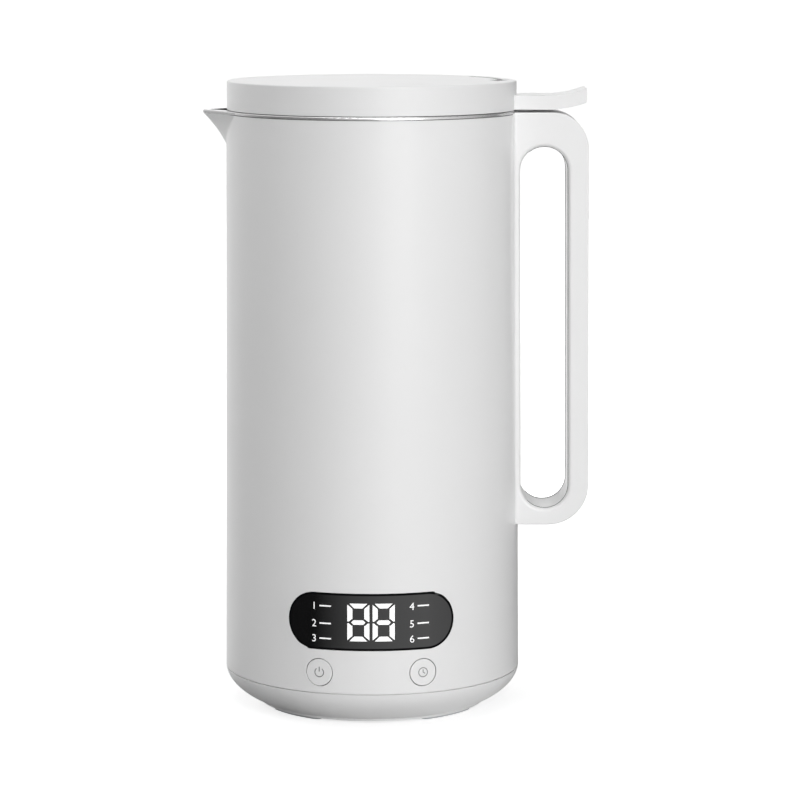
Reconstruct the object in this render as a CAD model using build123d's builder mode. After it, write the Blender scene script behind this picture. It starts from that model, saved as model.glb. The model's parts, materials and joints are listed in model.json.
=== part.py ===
from build123d import *
import os
from math import asin, cos, radians, sin, sqrt

# Soy milk maker: a steel cup in a tapered jacket with a loop handle, a motor and
# a heater below the cup, and a lift-off lid with a thumb lever.
# All sizes are in millimetres. +Z is up and the origin lies on the body's axis at
# the surface that it stands on. The handle points to +X, the spout to -X and the
# display to -Y.

# Screws and clearances
screw_radius = 1.5
screw_head_radius = 2.8
screw_head_height = 2.0
small_screw_radius = 1.0
small_head_radius = 1.9
small_head_height = 1.3
screw_bite = 8.0
small_bite = 2.6
fit = 0.05
loose = 0.2
running = 0.3
overrun = 2.0
lead_radius = 0.8
lead_bend = 3.0
lead_tight_bend = 2.0
lead_level = 20.0
second_lead_angle = 115.0

# Jacket
seam_radius = 57.5
jacket_taper = 1.5
rim_radius = seam_radius - jacket_taper
seam_height = 14.0
jacket_top = 230.5
jacket_wall = 2.2
ledge_width = 4.4
ledge_radius = rim_radius - ledge_width
ledge_thickness = 2.4
seam_groove_height = 0.4
seam_groove_depth = 0.8

# Spout fairing of the jacket
spout_reach = 9.8
spout_half_width = 25.0
spout_drop = 13.8
spout_tip_radius = 4.0
spout_root_depth = 0.6

# Handle
handle_rise = 0.5
handle_top = jacket_top + handle_rise
handle_bottom = 71.3
handle_reach = 27.0
handle_depth = 25.5
handle_wall = 2.2
handle_top_radius = 15.6
handle_bottom_radius = 13.6
handle_edge_radius = 0.5
handle_root_radius = 1.2
core_inset = 6.6
core_radius = ledge_radius - core_inset
handle_top_bar = 13.0
slot_top = handle_top - handle_top_bar
handle_bottom_bar = 6.4
slot_bottom = handle_bottom + handle_bottom_bar
slot_near = 0.8
handle_strap = 7.8
slot_far = handle_reach - handle_strap
slot_edge_radius = 1.5
liner_wall = 1.6
liner_start = 3.0
lead_hole_radius = 2.6

# Base cover
ring_inset = 13.2
ring_radius = seam_radius - ring_inset
ring_width = 5.5
ring_bottom = 0.8
ring_top = 1.7
base_wall = 2.4
floor_bottom = 2.0
base_lip_height = 2.4
base_lip_wall = 1.6
vent_count = 16
vent_length = 9.0
vent_width = 2.4
vent_circle = 20.0
pad_width = 3.6
pad_height = 2.0
pad_angle = 30.0

# Cup
cup_sheet = 0.8
cup_rim_width = 5.6
cup_rim_inner = rim_radius - cup_rim_width
cup_flare = 1.9
cup_floor_radius = cup_rim_inner - cup_flare
cup_rim_height = 1.2
cup_rim_round = 0.45
cup_corner_radius = 6.0
cup_spout_reach = 12.8
cup_spout_drop = 17.0
cup_spout_half_width = 21.5
cup_boss_radius = 3.4
cup_boss_length = 7.2
cup_boss_inset = 8.5
cup_boss_circle = cup_floor_radius - cup_boss_inset

# Lid
lid_radius = rim_radius - loose
lid_bottom = jacket_top + cup_rim_height + loose
lid_height = 11.0
lid_top = lid_bottom + lid_height
lid_wall = 2.0
lid_edge_radius = 0.5
plug_gap = 3.9
plug_radius = cup_rim_inner - plug_gap
plug_depth = 9.9
plug_bottom = lid_bottom - plug_depth
plug_wall = 1.8
plug_flange_gap = 0.8
plug_flange_radius = lid_radius - lid_wall - plug_flange_gap
seal_gap = 0.4
seal_radius = cup_rim_inner - seal_gap
seal_height = 4.0
seal_lift = 3.0
seal_bottom = plug_bottom + seal_lift
seal_groove_depth = 2.0
lever_bottom = lid_bottom + loose
lever_thickness = 5.4
lever_width = 23.0
lever_reach = 26.6
lever_tip_x = lid_radius + lever_reach
lever_curve = 14.4
lever_bend_x = lever_tip_x - lever_curve
lever_rise = 2.6
lever_edge_radius = 0.35
lever_bury = 11.8
lever_root_x = lid_radius - lever_bury
lever_screw_pitch = 13.0
magnet_radius = 3.0
magnet_height = 2.6
magnet_reach = 8.2
magnet_x = lid_radius + magnet_reach

# Display
window_height = 22.0
window_rise = 28.0
window_centre = seam_height + window_rise
window_half_angle = 33.0
window_thickness = 1.5
digit_height = 15.4
digit_width = 8.3
digit_pitch = 9.55
digit_stroke = 2.3
digit_gap = 0.32
module_width = 19.4
module_height = 17.0
module_depth = 7.3
board_thickness = 1.6
display_board_inset = 8.8
display_board_y = rim_radius - display_board_inset
display_board_width = 52.0
display_board_height = 25.0
board_post_x = 23.5
board_post_z = 11.2
board_post_radius = 1.8
baffle_inner_x = 11.2
baffle_outer_x = 22.8
baffle_height = 18.6
cell_width = 8.8
cell_height = 4.6
cell_pitch = 6.4

# Push keys
key_radius = 5.1
key_angle = 20.0
key_rise = 8.2
key_height = seam_height + key_rise
key_flange_radius = 6.2
key_flange = 0.8
key_travel = 0.5
key_stem_radius = 1.6
key_boss_radius = 7.4
key_boss_depth = 6.5
key_boss_end = seam_radius - key_boss_depth
key_boss_rise = 2.7
key_boss_foot = seam_height + key_boss_rise
key_stem_depth = 11.3
key_stem_end = seam_radius - key_stem_depth
plunger_radius = 1.2
plunger_length = 1.9
switch_size = 6.0
switch_depth = 3.4
key_post_radius = 1.4
key_post_spread = 8.0
key_board_width = 19.0
key_board_height = 11.0

# Power board and inlet
power_board_inset = 10.5
power_board_radius = seam_radius - power_board_inset
power_board_bottom = 10.5
standoff_radius = 3.0
standoff_inset = 5.0
standoff_circle = power_board_radius - standoff_inset
standoff_count = 3
relay_length = 19.0
relay_width = 15.5
relay_height = 14.4
relay_x = -11.0
relay_y = -14.0
transformer_length = 24.0
transformer_width = 20.0
transformer_height = 13.0
transformer_x = -9.0
transformer_y = 8.0
capacitor_radius = 5.0
capacitor_height = 12.5
capacitor_x = -34.0
capacitor_y = 7.0
choke_radius = 7.0
choke_hole_radius = 3.0
choke_height = 9.0
choke_x = -12.0
choke_y = 28.0
fuse_block_length = 22.0
fuse_block_width = 6.0
fuse_block_height = 9.0
fuse_block_x = 8.0
fuse_block_y = 28.0
sink_length = 28.0
sink_foot = 2.4
sink_height = 13.5
sink_fin = 1.2
sink_pitch = 3.2
sink_fin_count = 6
sink_x = 20.0
plug_length = 10.0
plug_width = 6.0
plug_height = 8.0
plug_pitch = 14.0
plug_y = -30.0
inlet_height = 34.0
inlet_width = 27.0
inlet_tall = 20.0
inlet_depth = 20.0
inlet_flange_width = 31.0
inlet_flange_tall = 24.0
inlet_flange = 2.0
inlet_inset = 2.5
inlet_face_y = seam_radius - inlet_inset
inlet_mouth_width = 24.4
inlet_mouth_tall = 17.0
inlet_mouth_depth = 16.0
inlet_corner = 4.0
inlet_frame = 3.0
inlet_pin_width = 2.0
inlet_pin_tall = 4.0
inlet_pin_spread = 7.0
inlet_pin_offset = 2.0
inlet_pin_reach = 11.0
inlet_pin_tail = 6.0
lead_inset = 7.5
lead_circle = seam_radius - lead_inset

# Motor
stator_radius = 27.5
stator_length = 22.0
yoke_wall = 6.0
yoke_radius = stator_radius - yoke_wall
pole_thickness = 2.8
pole_angle = 110.0
neck_width = 13.0
bolt_lug_inset = 4.0
bolt_lug_y = stator_radius - bolt_lug_inset
bolt_lug_radius = 3.6
bolt_radius = 2.0
coil_overhang = 4.8
coil_angle = 100.0
coil_inset = 2.0
coil_outer_radius = stator_radius - coil_inset
field_depth = 12.8
armature_radius = stator_radius - field_depth
air_gap = 0.5
pole_radius = armature_radius + air_gap
armature_hub_radius = 7.4
armature_slots = 12
armature_slot_width = 2.6
end_turn_inset = 1.3
end_turn_radius = armature_radius - end_turn_inset
end_turn_height = 4.0
shaft_radius = 4.0
shaft_lower_radius = 3.0
shaft_upper_radius = 3.6
shaft_tip_radius = 3.0
commutator_radius = 10.5
commutator_length = 11.0
riser_step = 1.7
riser_radius = commutator_radius + riser_step
riser_height = 1.6
brush_width = 6.0
brush_height = 7.4
brush_length = 9.5
brush_gap = 0.05
spring_radius = 2.6
spring_wall = 0.9
holder_wall = 1.0
holder_inner_x = 12.8
holder_overhang = 0.3
holder_length = stator_radius + holder_overhang - holder_inner_x
bracket_disc = 3.0
disc_inset = 0.1
lower_disc_radius = stator_radius - disc_inset
upper_disc_radius = stator_radius - disc_inset
bracket_boss_wall = 2.5
ear_reach = 7.5
ear_circle = stator_radius + ear_reach
ear_radius = 4.6
damper_radius = 5.0
damper_neck_radius = 4.1
damper_bore_radius = 1.7
damper_lip = 2.1
lower_bearing_radius = 9.5
lower_bearing_width = 6.0
upper_bearing_radius = 11.0
upper_bearing_width = 7.0
bearing_gap = 0.03
bearing_lip = 1.0
vent_slot_circle = 19.5
vent_slot_width = 5.0
vent_slot_angle = 50.0
fan_radius = 23.0
fan_room = 2.5
fan_bottom = power_board_bottom + board_thickness + relay_height + fan_room
shaft_stub = 1.0
shaft_bottom = fan_bottom - shaft_stub
fan_height = 6.0
fan_gap = 2.0
lower_disc_bottom = fan_bottom + fan_height + fan_gap
brush_room = 24.0
stator_bottom = lower_disc_bottom + brush_room
coil_room = 12.0
upper_disc_bottom = stator_bottom + stator_length + coil_room
lower_bearing_drop = 0.5
lower_bearing_bottom = lower_disc_bottom - lower_bearing_drop
shoulder_gap = 0.5
shaft_shoulder = lower_bearing_bottom + lower_bearing_width + shoulder_gap
commutator_gap = 1.0
commutator_bottom = shaft_shoulder + commutator_gap
upper_bearing_drop = 4.0
upper_bearing_bottom = upper_disc_bottom - upper_bearing_drop
neck_gap = 0.4
shaft_neck = upper_bearing_bottom + upper_bearing_width + neck_gap
fan_blades = 9
fan_hub_radius = 6.5
fan_disc = 1.0
fan_blade_thickness = 1.2
fan_blade_lean = 25.0

# Frame under the cup
frame_drop = 7.0
frame_plate_bottom = upper_disc_bottom - frame_drop
frame_plate = 3.0
frame_gap = 1.7
frame_inner_radius = stator_radius + frame_gap
frame_inset = 2.5
frame_outer_radius = cup_floor_radius - frame_inset
pillar_radius = 3.5
pillar_circle = 34.5
pillar_foot = 16.0
post_count = 4
post_start_angle = 45.0

# Seal, blade and heater
seal_bush_radius = 12.8
seal_bush_flange_radius = 16.0
seal_bush_flange = 1.5
seal_bush_rise = 9.6
seal_bush_bottom = upper_disc_bottom + seal_bush_rise
seal_ring_radius = 9.0
seal_ring_height = 7.0
seal_nut_width = 33.0
seal_nut_height = 4.0
blade_reach = 22.0
blade_hub_radius = 7.0
blade_sheet = 1.2
blade_width = 9.0
blade_tip_width = 5.0
blade_bend = 24.0
blade_droop = 8.0
blade_bevel = 2.4
washer_radius = 5.5
washer_thickness = 0.6
nut_width = 9.0
nut_height = 3.4
nut_dome_radius = 4.2
nut_dome = 2.0
plate_inner_radius = 20.0
plate_inset = 4.0
plate_outer_radius = cup_boss_circle - plate_inset
plate_thickness = 4.2
element_inset = 5.0
element_circle = plate_outer_radius - element_inset
element_radius = 3.2
element_angle = 300.0
element_start_angle = 165.0
element_leg = 5.0
pin_radius = 1.1
pin_length = 4.0
thermostat_radius = 6.5
thermostat_height = 6.8
thermostat_inset = 10.0
thermostat_circle = element_circle - thermostat_inset
thermostat_tab_width = 4.8
thermostat_tab_reach = 10.5
thermostat_tab = 0.8
thermostat_angle = 215.0
fuse_radius = 2.2
fuse_length = 11.0
fuse_angle = 20.0
fuse_inset = 7.5
fuse_circle = element_circle - fuse_inset
probe_radius = 2.5
probe_circle = cup_boss_circle
probe_angle = 180.0
probe_rise = 9.0
probe_drop = 9.0
probe_flange_radius = 3.4
probe_flange = 1.2
seal_bush_depth = 7.4
cup_floor_top = seal_bush_bottom + seal_bush_depth
blade_lift = 4.5
blade_seat = cup_floor_top + blade_lift
shaft_end = 5.3
shaft_tip = blade_seat + shaft_end

# Switch board in the top of the handle
reed_board_reach = 10.0
reed_board_middle = rim_radius + reed_board_reach
reed_board_length = 16.0
reed_board_drop = 3.3
reed_board_thickness = 1.0
reed_radius = 1.0
reed_length = 14.0

# Shares of the sizes that they follow
spout_rise_shares = (0.0, 0.25, 0.5, 0.75, 1.0)
spout_foot_share = 0.08
bowl_upper_shares = (0.955, 0.53)
bowl_lower_shares = (0.43, 0.155)

strap_half = handle_depth / 2
switch_face = key_stem_end - key_travel - loose
key_board_front = switch_face - switch_depth
floor_top = floor_bottom + base_wall
base_inner_radius = seam_radius - jacket_wall
upper_end = jacket_top + cup_rim_height


def body_radius(height):
    """Outer radius of the jacket at a height: it narrows upward by its mould draft."""
    draft = (seam_radius - rim_radius) / (jacket_top - seam_height)
    return seam_radius - draft * (height - seam_height)


def cup_radius(height):
    """Inner radius of the cup at a height."""
    flare = (cup_rim_inner - cup_floor_radius) / (upper_end - cup_floor_top)
    return cup_floor_radius + flare * (height - cup_floor_top)


def beak_face(height, root, reach, width, tip_radius, inner_x):
    """Outline of a pouring beak at a height, from well inside its wall to its rounded tip."""
    with BuildSketch(Plane.XY.offset(height)) as section:
        side_x = -sqrt(root * root - width * width)
        Polygon((-inner_x, -width), (side_x, -width), (-root - reach, 0), (side_x, width),
                (-inner_x, width), align=None)
        fillet(section.vertices().sort_by(Axis.X)[0], tip_radius)
    return section.sketch


def beak(wall_radius, reach, half_width, drop, top, tip_radius, inner_x):
    """Pouring beak that grows out of a round wall towards its top, with a hollow curve below."""
    with BuildPart() as form:
        for rise in spout_rise_shares:
            height = top - drop * (1 - rise)
            root = wall_radius(height) - spout_root_depth
            spread = spout_foot_share + (1 - spout_foot_share) * rise
            push = fit + (reach + spout_root_depth - fit) * (rise + rise * rise) / 2
            add(beak_face(height, root, push, half_width * spread, tip_radius * spread, inner_x))
        loft()
    return form.part


def turned(*profile):
    """Solid of revolution about the body's axis from radius and height pairs."""
    with BuildPart() as form:
        with BuildSketch(Plane.XZ):
            Polygon(*profile, align=None)
        revolve(axis=Axis.Z)
    return form.part


def pan_screw(radius, length, head_radius, head_height):
    """Pan-head screw: the head's seat is at height 0, the shank runs up and the head down."""
    with BuildPart() as form:
        with BuildSketch():
            Circle(radius)
        extrude(amount=length)
        with BuildSketch():
            Circle(head_radius)
        extrude(amount=-head_height)
        chamfer(form.edges().group_by(Axis.Z)[0], head_height * 0.4)
    return form.part


def lead(radius, bend, *points):
    """Insulated lead along straight runs joined by round bends."""
    with BuildPart() as form:
        with BuildLine() as route:
            FilletPolyline(*points, radius=bend)
        with BuildSketch(Plane(origin=route.line @ 0, z_dir=route.line % 0)):
            RegularPolygon(radius, 6)
        sweep()
    return form.part


def radial_plane(angle, height):
    """Plane across a radial axis: its normal points outward at an angle from the front."""
    return Plane(origin=(0, 0, height), x_dir=(cos(radians(angle)), sin(radians(angle)), 0),
                 z_dir=(sin(radians(angle)), -cos(radians(angle)), 0))


def polar_point(circle, angle):
    """Point on a circle about the body's axis, at an angle from +X."""
    return circle * cos(radians(angle)), circle * sin(radians(angle))


post_points = [polar_point(cup_boss_circle, post_start_angle + 360 * i / post_count)
               for i in range(post_count)]
pillar_points = [polar_point(pillar_circle, post_start_angle + 360 * i / post_count)
                 for i in range(post_count)]
ear_points = [polar_point(ear_circle, 360 * i / post_count) for i in range(post_count)]
standoff_points = [polar_point(standoff_circle, 360 * i / standoff_count)
                   for i in range(standoff_count)]
key_planes = [radial_plane(-key_angle, key_height), radial_plane(key_angle, key_height)]

# The cup's outer wall, and the room that the jacket leaves for it
cup_beak = beak(lambda z: cup_radius(z) + cup_sheet, cup_spout_reach, cup_spout_half_width,
                cup_spout_drop, jacket_top, spout_tip_radius, ledge_radius - 10 * cup_sheet)
cup_beak_room = beak(lambda z: cup_radius(z) + cup_sheet + running, cup_spout_reach,
                     cup_spout_half_width + running, cup_spout_drop + running, jacket_top,
                     spout_tip_radius + running, ledge_radius - 10 * cup_sheet)
cup_channel = beak(cup_radius, cup_spout_reach, cup_spout_half_width - cup_sheet / 2,
                   cup_spout_drop - cup_sheet, jacket_top, spout_tip_radius - cup_sheet,
                   ledge_radius - 20 * cup_sheet)
fairing = beak(body_radius, spout_reach, spout_half_width, spout_drop, jacket_top,
               spout_tip_radius, core_radius)


def handle_corner(height, offset):
    """Point of the handle's side view at a height and at an offset from the jacket."""
    return body_radius(height) + offset, height


# Handle loop, seen from the front, with its finger slot
with BuildPart() as handle_form:
    with BuildSketch(Plane.XZ) as handle_outline:
        Polygon((core_radius, handle_bottom), handle_corner(handle_bottom, handle_reach),
                handle_corner(handle_top, handle_reach), (core_radius, handle_top), align=None)
        outer_corners = handle_outline.vertices().sort_by(Axis.X)[-2:].sort_by(Axis.Z)
        fillet(outer_corners[0], handle_bottom_radius)
        upper_corner = handle_outline.vertices().group_by(Axis.Z)[-1].sort_by(Axis.X)[-1]
        fillet(upper_corner, handle_top_radius)
    extrude(amount=strap_half, both=True)
    handle_sides = handle_form.faces().filter_by(Axis.Y)
    fillet(handle_sides.edges().filter_by(lambda e: e.center().X > core_radius + overrun),
           handle_edge_radius)
    with BuildSketch(Plane.XZ) as slot_outline:
        Polygon(handle_corner(slot_bottom, slot_near), handle_corner(slot_bottom, slot_far),
                handle_corner(slot_top, slot_far), handle_corner(slot_top, slot_near), align=None)
        slot_round = (slot_far - slot_near) / 2 - fit
        fillet(slot_outline.vertices(), slot_round)
    extrude(amount=strap_half + overrun, both=True, mode=Mode.SUBTRACT)
    slot_edges = [edge for side in handle_form.faces().filter_by(Axis.Y)
                  for wire in side.inner_wires() for edge in wire.edges()]
    fillet(slot_edges, slot_edge_radius)

# Hollow blend between the jacket and the front face of the handle
with BuildPart() as root_blend:
    blend_foot = handle_bottom + handle_edge_radius
    blend_rise = jacket_top - blend_foot
    with BuildSketch(Plane.XY.offset(blend_foot)):
        blend_y = strap_half + handle_root_radius
        blend_reach = body_radius(blend_foot) + handle_root_radius
        blend_x = sqrt(blend_reach * blend_reach - blend_y * blend_y)
        touch = Vector(blend_x, -blend_y) * (body_radius(blend_foot) / blend_reach)
        with BuildLine():
            RadiusArc((blend_x, -strap_half), touch, -handle_root_radius)
            Polyline(touch, (core_radius, -strap_half), (blend_x, -strap_half))
        make_face()
    extrude(amount=blend_rise, dir=(body_radius(jacket_top) - body_radius(blend_foot), 0, blend_rise))

# Hollow of the handle, left open towards the finger slot
with BuildPart() as handle_hollow:
    with BuildSketch(Plane.XZ) as hollow_outline:
        hollow_x = body_radius(slot_top) + slot_near + liner_start
        Polygon((hollow_x, handle_bottom + handle_wall),
                handle_corner(handle_bottom + handle_wall, handle_reach - handle_wall),
                handle_corner(handle_top - handle_wall, handle_reach - handle_wall),
                (ledge_radius, handle_top - handle_wall),
                (ledge_radius, slot_top + liner_wall),
                (hollow_x, slot_top + liner_wall), align=None)
        far_corners = hollow_outline.vertices().sort_by(Axis.X)[-2:]
        fillet(far_corners.sort_by(Axis.Z)[0], handle_bottom_radius - handle_wall)
        top_corner = hollow_outline.vertices().group_by(Axis.Z)[-1].sort_by(Axis.X)[-1]
        fillet(top_corner, handle_top_radius - handle_wall)
    extrude(amount=strap_half - handle_wall, both=True)
    add(turned((0, handle_bottom - overrun), (body_radius(handle_bottom) + fit,
                                              handle_bottom - overrun),
               (body_radius(handle_top) + fit, handle_top + overrun), (0, handle_top + overrun)),
        mode=Mode.SUBTRACT)

# Flat seat behind the inlet's flange, and the key bosses
with BuildPart() as jacket_fittings:
    with BuildSketch(Plane.XZ.offset(-inlet_face_y + inlet_flange)):
        with Locations((0, inlet_height)):
            Rectangle(inlet_flange_width + 2 * inlet_frame, inlet_flange_tall + 2 * inlet_frame)
    extrude(amount=inlet_frame)
    for key_plane in key_planes:
        with BuildSketch(key_plane.offset(key_boss_end)):
            Circle(key_boss_radius)
            with Locations((0, key_boss_foot - key_height - key_boss_radius)):
                Rectangle(2 * key_boss_radius, 2 * key_boss_radius, mode=Mode.SUBTRACT)
        extrude(amount=rim_radius - key_boss_end)
        with BuildSketch(key_plane.offset(key_board_front)):
            with Locations((-key_post_spread, 0), (key_post_spread, 0)):
                Circle(key_post_radius)
        extrude(amount=rim_radius - key_board_front)
    for side in (-1, 1):
        for level in (-1, 1):
            with BuildSketch(Plane.XZ.offset(display_board_y)):
                with Locations((side * board_post_x, window_centre + level * board_post_z)):
                    Circle(board_post_radius)
            extrude(amount=rim_radius - display_board_y)
    add(turned((0, seam_height), (seam_radius - jacket_wall / 2, seam_height),
               (rim_radius - jacket_wall / 2, jacket_top), (0, jacket_top)), mode=Mode.INTERSECT)


def window_outline(inset):
    """Pill of the display, wrapped round the jacket, as seen from the front."""
    end_radius = window_height / 2 - inset
    centre_arc = radians(window_half_angle) * body_radius(window_centre) - window_height / 2
    steps = 12
    right = []
    for i in range(steps + 1):
        turn = radians(-90 + 180 * i / steps)
        arc = centre_arc + end_radius * cos(turn)
        right.append((body_radius(window_centre) * sin(arc / body_radius(window_centre)),
                      window_centre + end_radius * sin(turn)))
    left = [(-x, z) for x, z in reversed(right)]
    return right, left


def window_prism(inset):
    """Solid through the front wall with the outline of the display."""
    right, left = window_outline(inset)
    with BuildPart() as form:
        with BuildSketch(Plane.XZ.offset(core_radius)):
            with BuildLine():
                Spline(*right, tangents=((1, 0), (-1, 0)))
                Line(right[-1], left[0])
                Spline(*left, tangents=((-1, 0), (1, 0)))
                Line(left[-1], right[0])
            make_face()
        extrude(amount=seam_radius)
    return form.part


def front_band(outer_inset, inner_inset):
    """Ring of the jacket's wall behind the display, between two depths below its surface."""
    low = window_centre - window_height
    high = window_centre + window_height
    return turned((body_radius(low) - inner_inset, low), (body_radius(low) - outer_inset, low),
                  (body_radius(high) - outer_inset, high), (body_radius(high) - inner_inset, high))


def cell_spots():
    """Places of the lit cells beside the digits, as x and z."""
    middle = (baffle_inner_x + baffle_outer_x) / 2
    return [(side * middle, window_centre + level * cell_pitch)
            for side in (-1, 1) for level in (-1, 0, 1)]


# Recess for the window, and the window's blank
with BuildPart() as recess_form:
    add(front_band(-overrun, window_thickness))
    add(window_prism(0), mode=Mode.INTERSECT)
window_recess = recess_form.part

# Jacket with spout fairing and handle, one moulding
with BuildPart() as outer_shell:
    with BuildSketch(Plane.XZ):
        Polygon((0, seam_height), (seam_radius, seam_height), (rim_radius, jacket_top),
                (0, jacket_top), align=None)
    revolve(axis=Axis.Z)
    add(fairing)
    add(handle_form.part)
    add(root_blend.part)
    mirror(root_blend.part, about=Plane.XZ)
    # cup's rim seat
    with BuildSketch(Plane.XY.offset(jacket_top)):
        Circle(rim_radius + fit)
    extrude(amount=handle_top, mode=Mode.SUBTRACT)
    # inside of the barrel, with the ledge that carries the cup
    with BuildSketch(Plane.XZ):
        ledge_bottom = jacket_top - ledge_thickness
        ledge_foot = ledge_bottom - (body_radius(ledge_bottom) - jacket_wall - ledge_radius)
        Polygon((0, seam_height), (base_inner_radius, seam_height),
                (body_radius(ledge_foot) - jacket_wall, ledge_foot),
                (ledge_radius, ledge_bottom), (ledge_radius, jacket_top), (0, jacket_top),
                align=None)
    revolve(axis=Axis.Z, mode=Mode.SUBTRACT)
    add(jacket_fittings.part)
    add(cup_beak_room, mode=Mode.SUBTRACT)
    add(handle_hollow.part, mode=Mode.SUBTRACT)
    # shadow groove above the base seam
    with BuildSketch(Plane.XZ):
        Polygon((seam_radius - seam_groove_depth, seam_height),
                (seam_radius + overrun, seam_height),
                (seam_radius + overrun, seam_height + seam_groove_height),
                (seam_radius - seam_groove_depth, seam_height + seam_groove_height), align=None)
    revolve(axis=Axis.Z, mode=Mode.SUBTRACT)
    # hole for the lead that goes up into the handle
    with BuildSketch(Plane.YZ.offset(ledge_radius)):
        with Locations((0, (slot_top + handle_top) / 2 - handle_wall)):
            Circle(lead_hole_radius)
    extrude(amount=hollow_x - ledge_radius, mode=Mode.SUBTRACT)
    # inlet: recess for the flange and hole for the body
    with BuildSketch(Plane.XZ.offset(-inlet_face_y + inlet_flange)):
        with Locations((0, inlet_height)):
            Rectangle(inlet_flange_width + 2 * fit, inlet_flange_tall + 2 * fit)
    extrude(amount=inlet_face_y - inlet_flange - seam_radius - overrun, mode=Mode.SUBTRACT)
    with BuildSketch(Plane.XZ.offset(-inlet_face_y + inlet_flange)):
        with Locations((0, inlet_height)):
            Rectangle(inlet_width + 2 * fit, inlet_tall + 2 * fit)
    extrude(amount=2 * inlet_frame, mode=Mode.SUBTRACT)
    # key holes
    for key_plane in key_planes:
        with BuildSketch(key_plane.offset(key_boss_end - overrun)):
            Circle(key_radius + running)
        extrude(amount=seam_radius, mode=Mode.SUBTRACT)
    # recess that the window lies in
    add(window_recess, mode=Mode.SUBTRACT)
    # openings behind the window for the digits and the lit cells
    with BuildSketch(Plane.XZ.offset(core_radius)):
        with Locations((0, window_centre)):
            Rectangle(module_width + 2 * loose, module_height + 2 * loose)
        with Locations(*cell_spots()):
            Rectangle(cell_width, cell_height)
    extrude(amount=seam_radius, mode=Mode.SUBTRACT)
    # screw holes of the display board
    with BuildSketch(Plane.XZ.offset(display_board_y)):
        with Locations((0, window_centre)):
            with GridLocations(2 * board_post_x, 2 * board_post_z, 2, 2):
                Circle(small_screw_radius + fit)
    extrude(amount=small_bite + running, mode=Mode.SUBTRACT)
outer_shell.part.label = "outer_shell"

# Inner wall of the handle: lines the top, the far side and the bottom of the finger slot
with BuildPart() as handle_liner:
    with BuildSketch(Plane.XZ) as liner_outline:
        Polygon(handle_corner(slot_bottom - liner_wall, slot_near - liner_wall),
                handle_corner(slot_bottom - liner_wall, slot_far + liner_wall),
                handle_corner(slot_top + liner_wall, slot_far + liner_wall),
                handle_corner(slot_top + liner_wall, slot_near - liner_wall), align=None)
        fillet(liner_outline.vertices(), slot_round + liner_wall)
        with BuildSketch(mode=Mode.PRIVATE) as slot_again:
            Polygon(handle_corner(slot_bottom, slot_near), handle_corner(slot_bottom, slot_far),
                    handle_corner(slot_top, slot_far), handle_corner(slot_top, slot_near),
                    align=None)
            fillet(slot_again.vertices(), slot_round)
        add(slot_again.sketch, mode=Mode.SUBTRACT)
    extrude(amount=strap_half - handle_wall - fit, both=True)
    split(bisect_by=Plane.YZ.offset(hollow_x + fit), keep=Keep.TOP)
handle_liner.part.label = "handle_liner"


def bowl(top_radius, top, foot_radius, foot):
    """Solid bowl below the seam: a curve from its upright side round to its flat foot."""
    across = top_radius - foot_radius
    rise = top - foot
    with BuildPart() as form:
        with BuildSketch(Plane.XZ):
            with BuildLine():
                Bezier((top_radius, top),
                       (foot_radius + bowl_upper_shares[0] * across,
                        foot + bowl_upper_shares[1] * rise),
                       (foot_radius + bowl_lower_shares[0] * across,
                        foot + bowl_lower_shares[1] * rise),
                       (foot_radius, foot))
                Polyline((foot_radius, foot), (0, foot), (0, top), (top_radius, top))
            make_face()
        revolve(axis=Axis.Z)
    return form.part


# Base cover: bowl with foot ring, locating lip, screw posts and air vents
lip_outer = base_inner_radius - loose
lip_inner = lip_outer - base_lip_wall
ring_inner = ring_radius - ring_width
ring_middle = ring_radius - ring_width / 2
post_radius = pillar_radius + running
head_room = screw_head_radius + running
screw_seat = floor_bottom + 3 * screw_head_height
pad_arcs = [CenterArc((0, 0), ring_middle, post_start_angle + 360 * i / post_count - pad_angle / 2,
                      pad_angle) for i in range(post_count)]
with BuildPart() as base_cover:
    add(bowl(seam_radius, seam_height, ring_radius, ring_top))
    with BuildSketch(Plane.XY.offset(ring_bottom)):
        Circle(ring_radius)
        Circle(ring_inner, mode=Mode.SUBTRACT)
    extrude(amount=floor_top - ring_bottom)
    with BuildSketch():
        Circle(ring_inner)
    extrude(amount=floor_bottom, mode=Mode.SUBTRACT)
    add(bowl(lip_inner, seam_height, ring_radius - base_wall, floor_top), mode=Mode.SUBTRACT)
    with BuildSketch(Plane.XY.offset(seam_height - base_wall)):
        Circle(lip_outer)
        Circle(lip_inner, mode=Mode.SUBTRACT)
    extrude(amount=base_wall + base_lip_height)
    with BuildSketch(Plane.XY.offset(floor_bottom)):
        with Locations(*pillar_points):
            Circle(post_radius)
    extrude(amount=pillar_foot - floor_bottom)
    with BuildSketch(Plane.XY.offset(floor_bottom)):
        with Locations(*standoff_points):
            Circle(standoff_radius)
    extrude(amount=power_board_bottom - floor_bottom)
    with BuildSketch(Plane.XY.offset(power_board_bottom)):
        with Locations(*standoff_points):
            Circle(small_screw_radius + fit)
    extrude(amount=-small_bite - running, mode=Mode.SUBTRACT)
    with BuildSketch():
        with Locations(*pillar_points):
            Circle(head_room)
    extrude(amount=screw_seat, mode=Mode.SUBTRACT)
    with BuildSketch():
        with Locations(*pillar_points):
            Circle(screw_radius + loose)
    extrude(amount=pillar_foot + overrun, mode=Mode.SUBTRACT)
    with BuildSketch():
        for arc in pad_arcs:
            SlotArc(arc, pad_width)
    extrude(amount=pad_height, mode=Mode.SUBTRACT)
    with BuildSketch():
        with PolarLocations(vent_circle, vent_count):
            SlotOverall(vent_length, vent_width)
    extrude(amount=floor_top + overrun, mode=Mode.SUBTRACT)
base_cover.part.label = "base_cover"

# Rubber pads set into the foot ring
with BuildPart() as foot_pads:
    with BuildSketch():
        for arc in pad_arcs:
            SlotArc(arc, pad_width)
    extrude(amount=pad_height)
foot_pads.part.label = "foot_pads"

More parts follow.
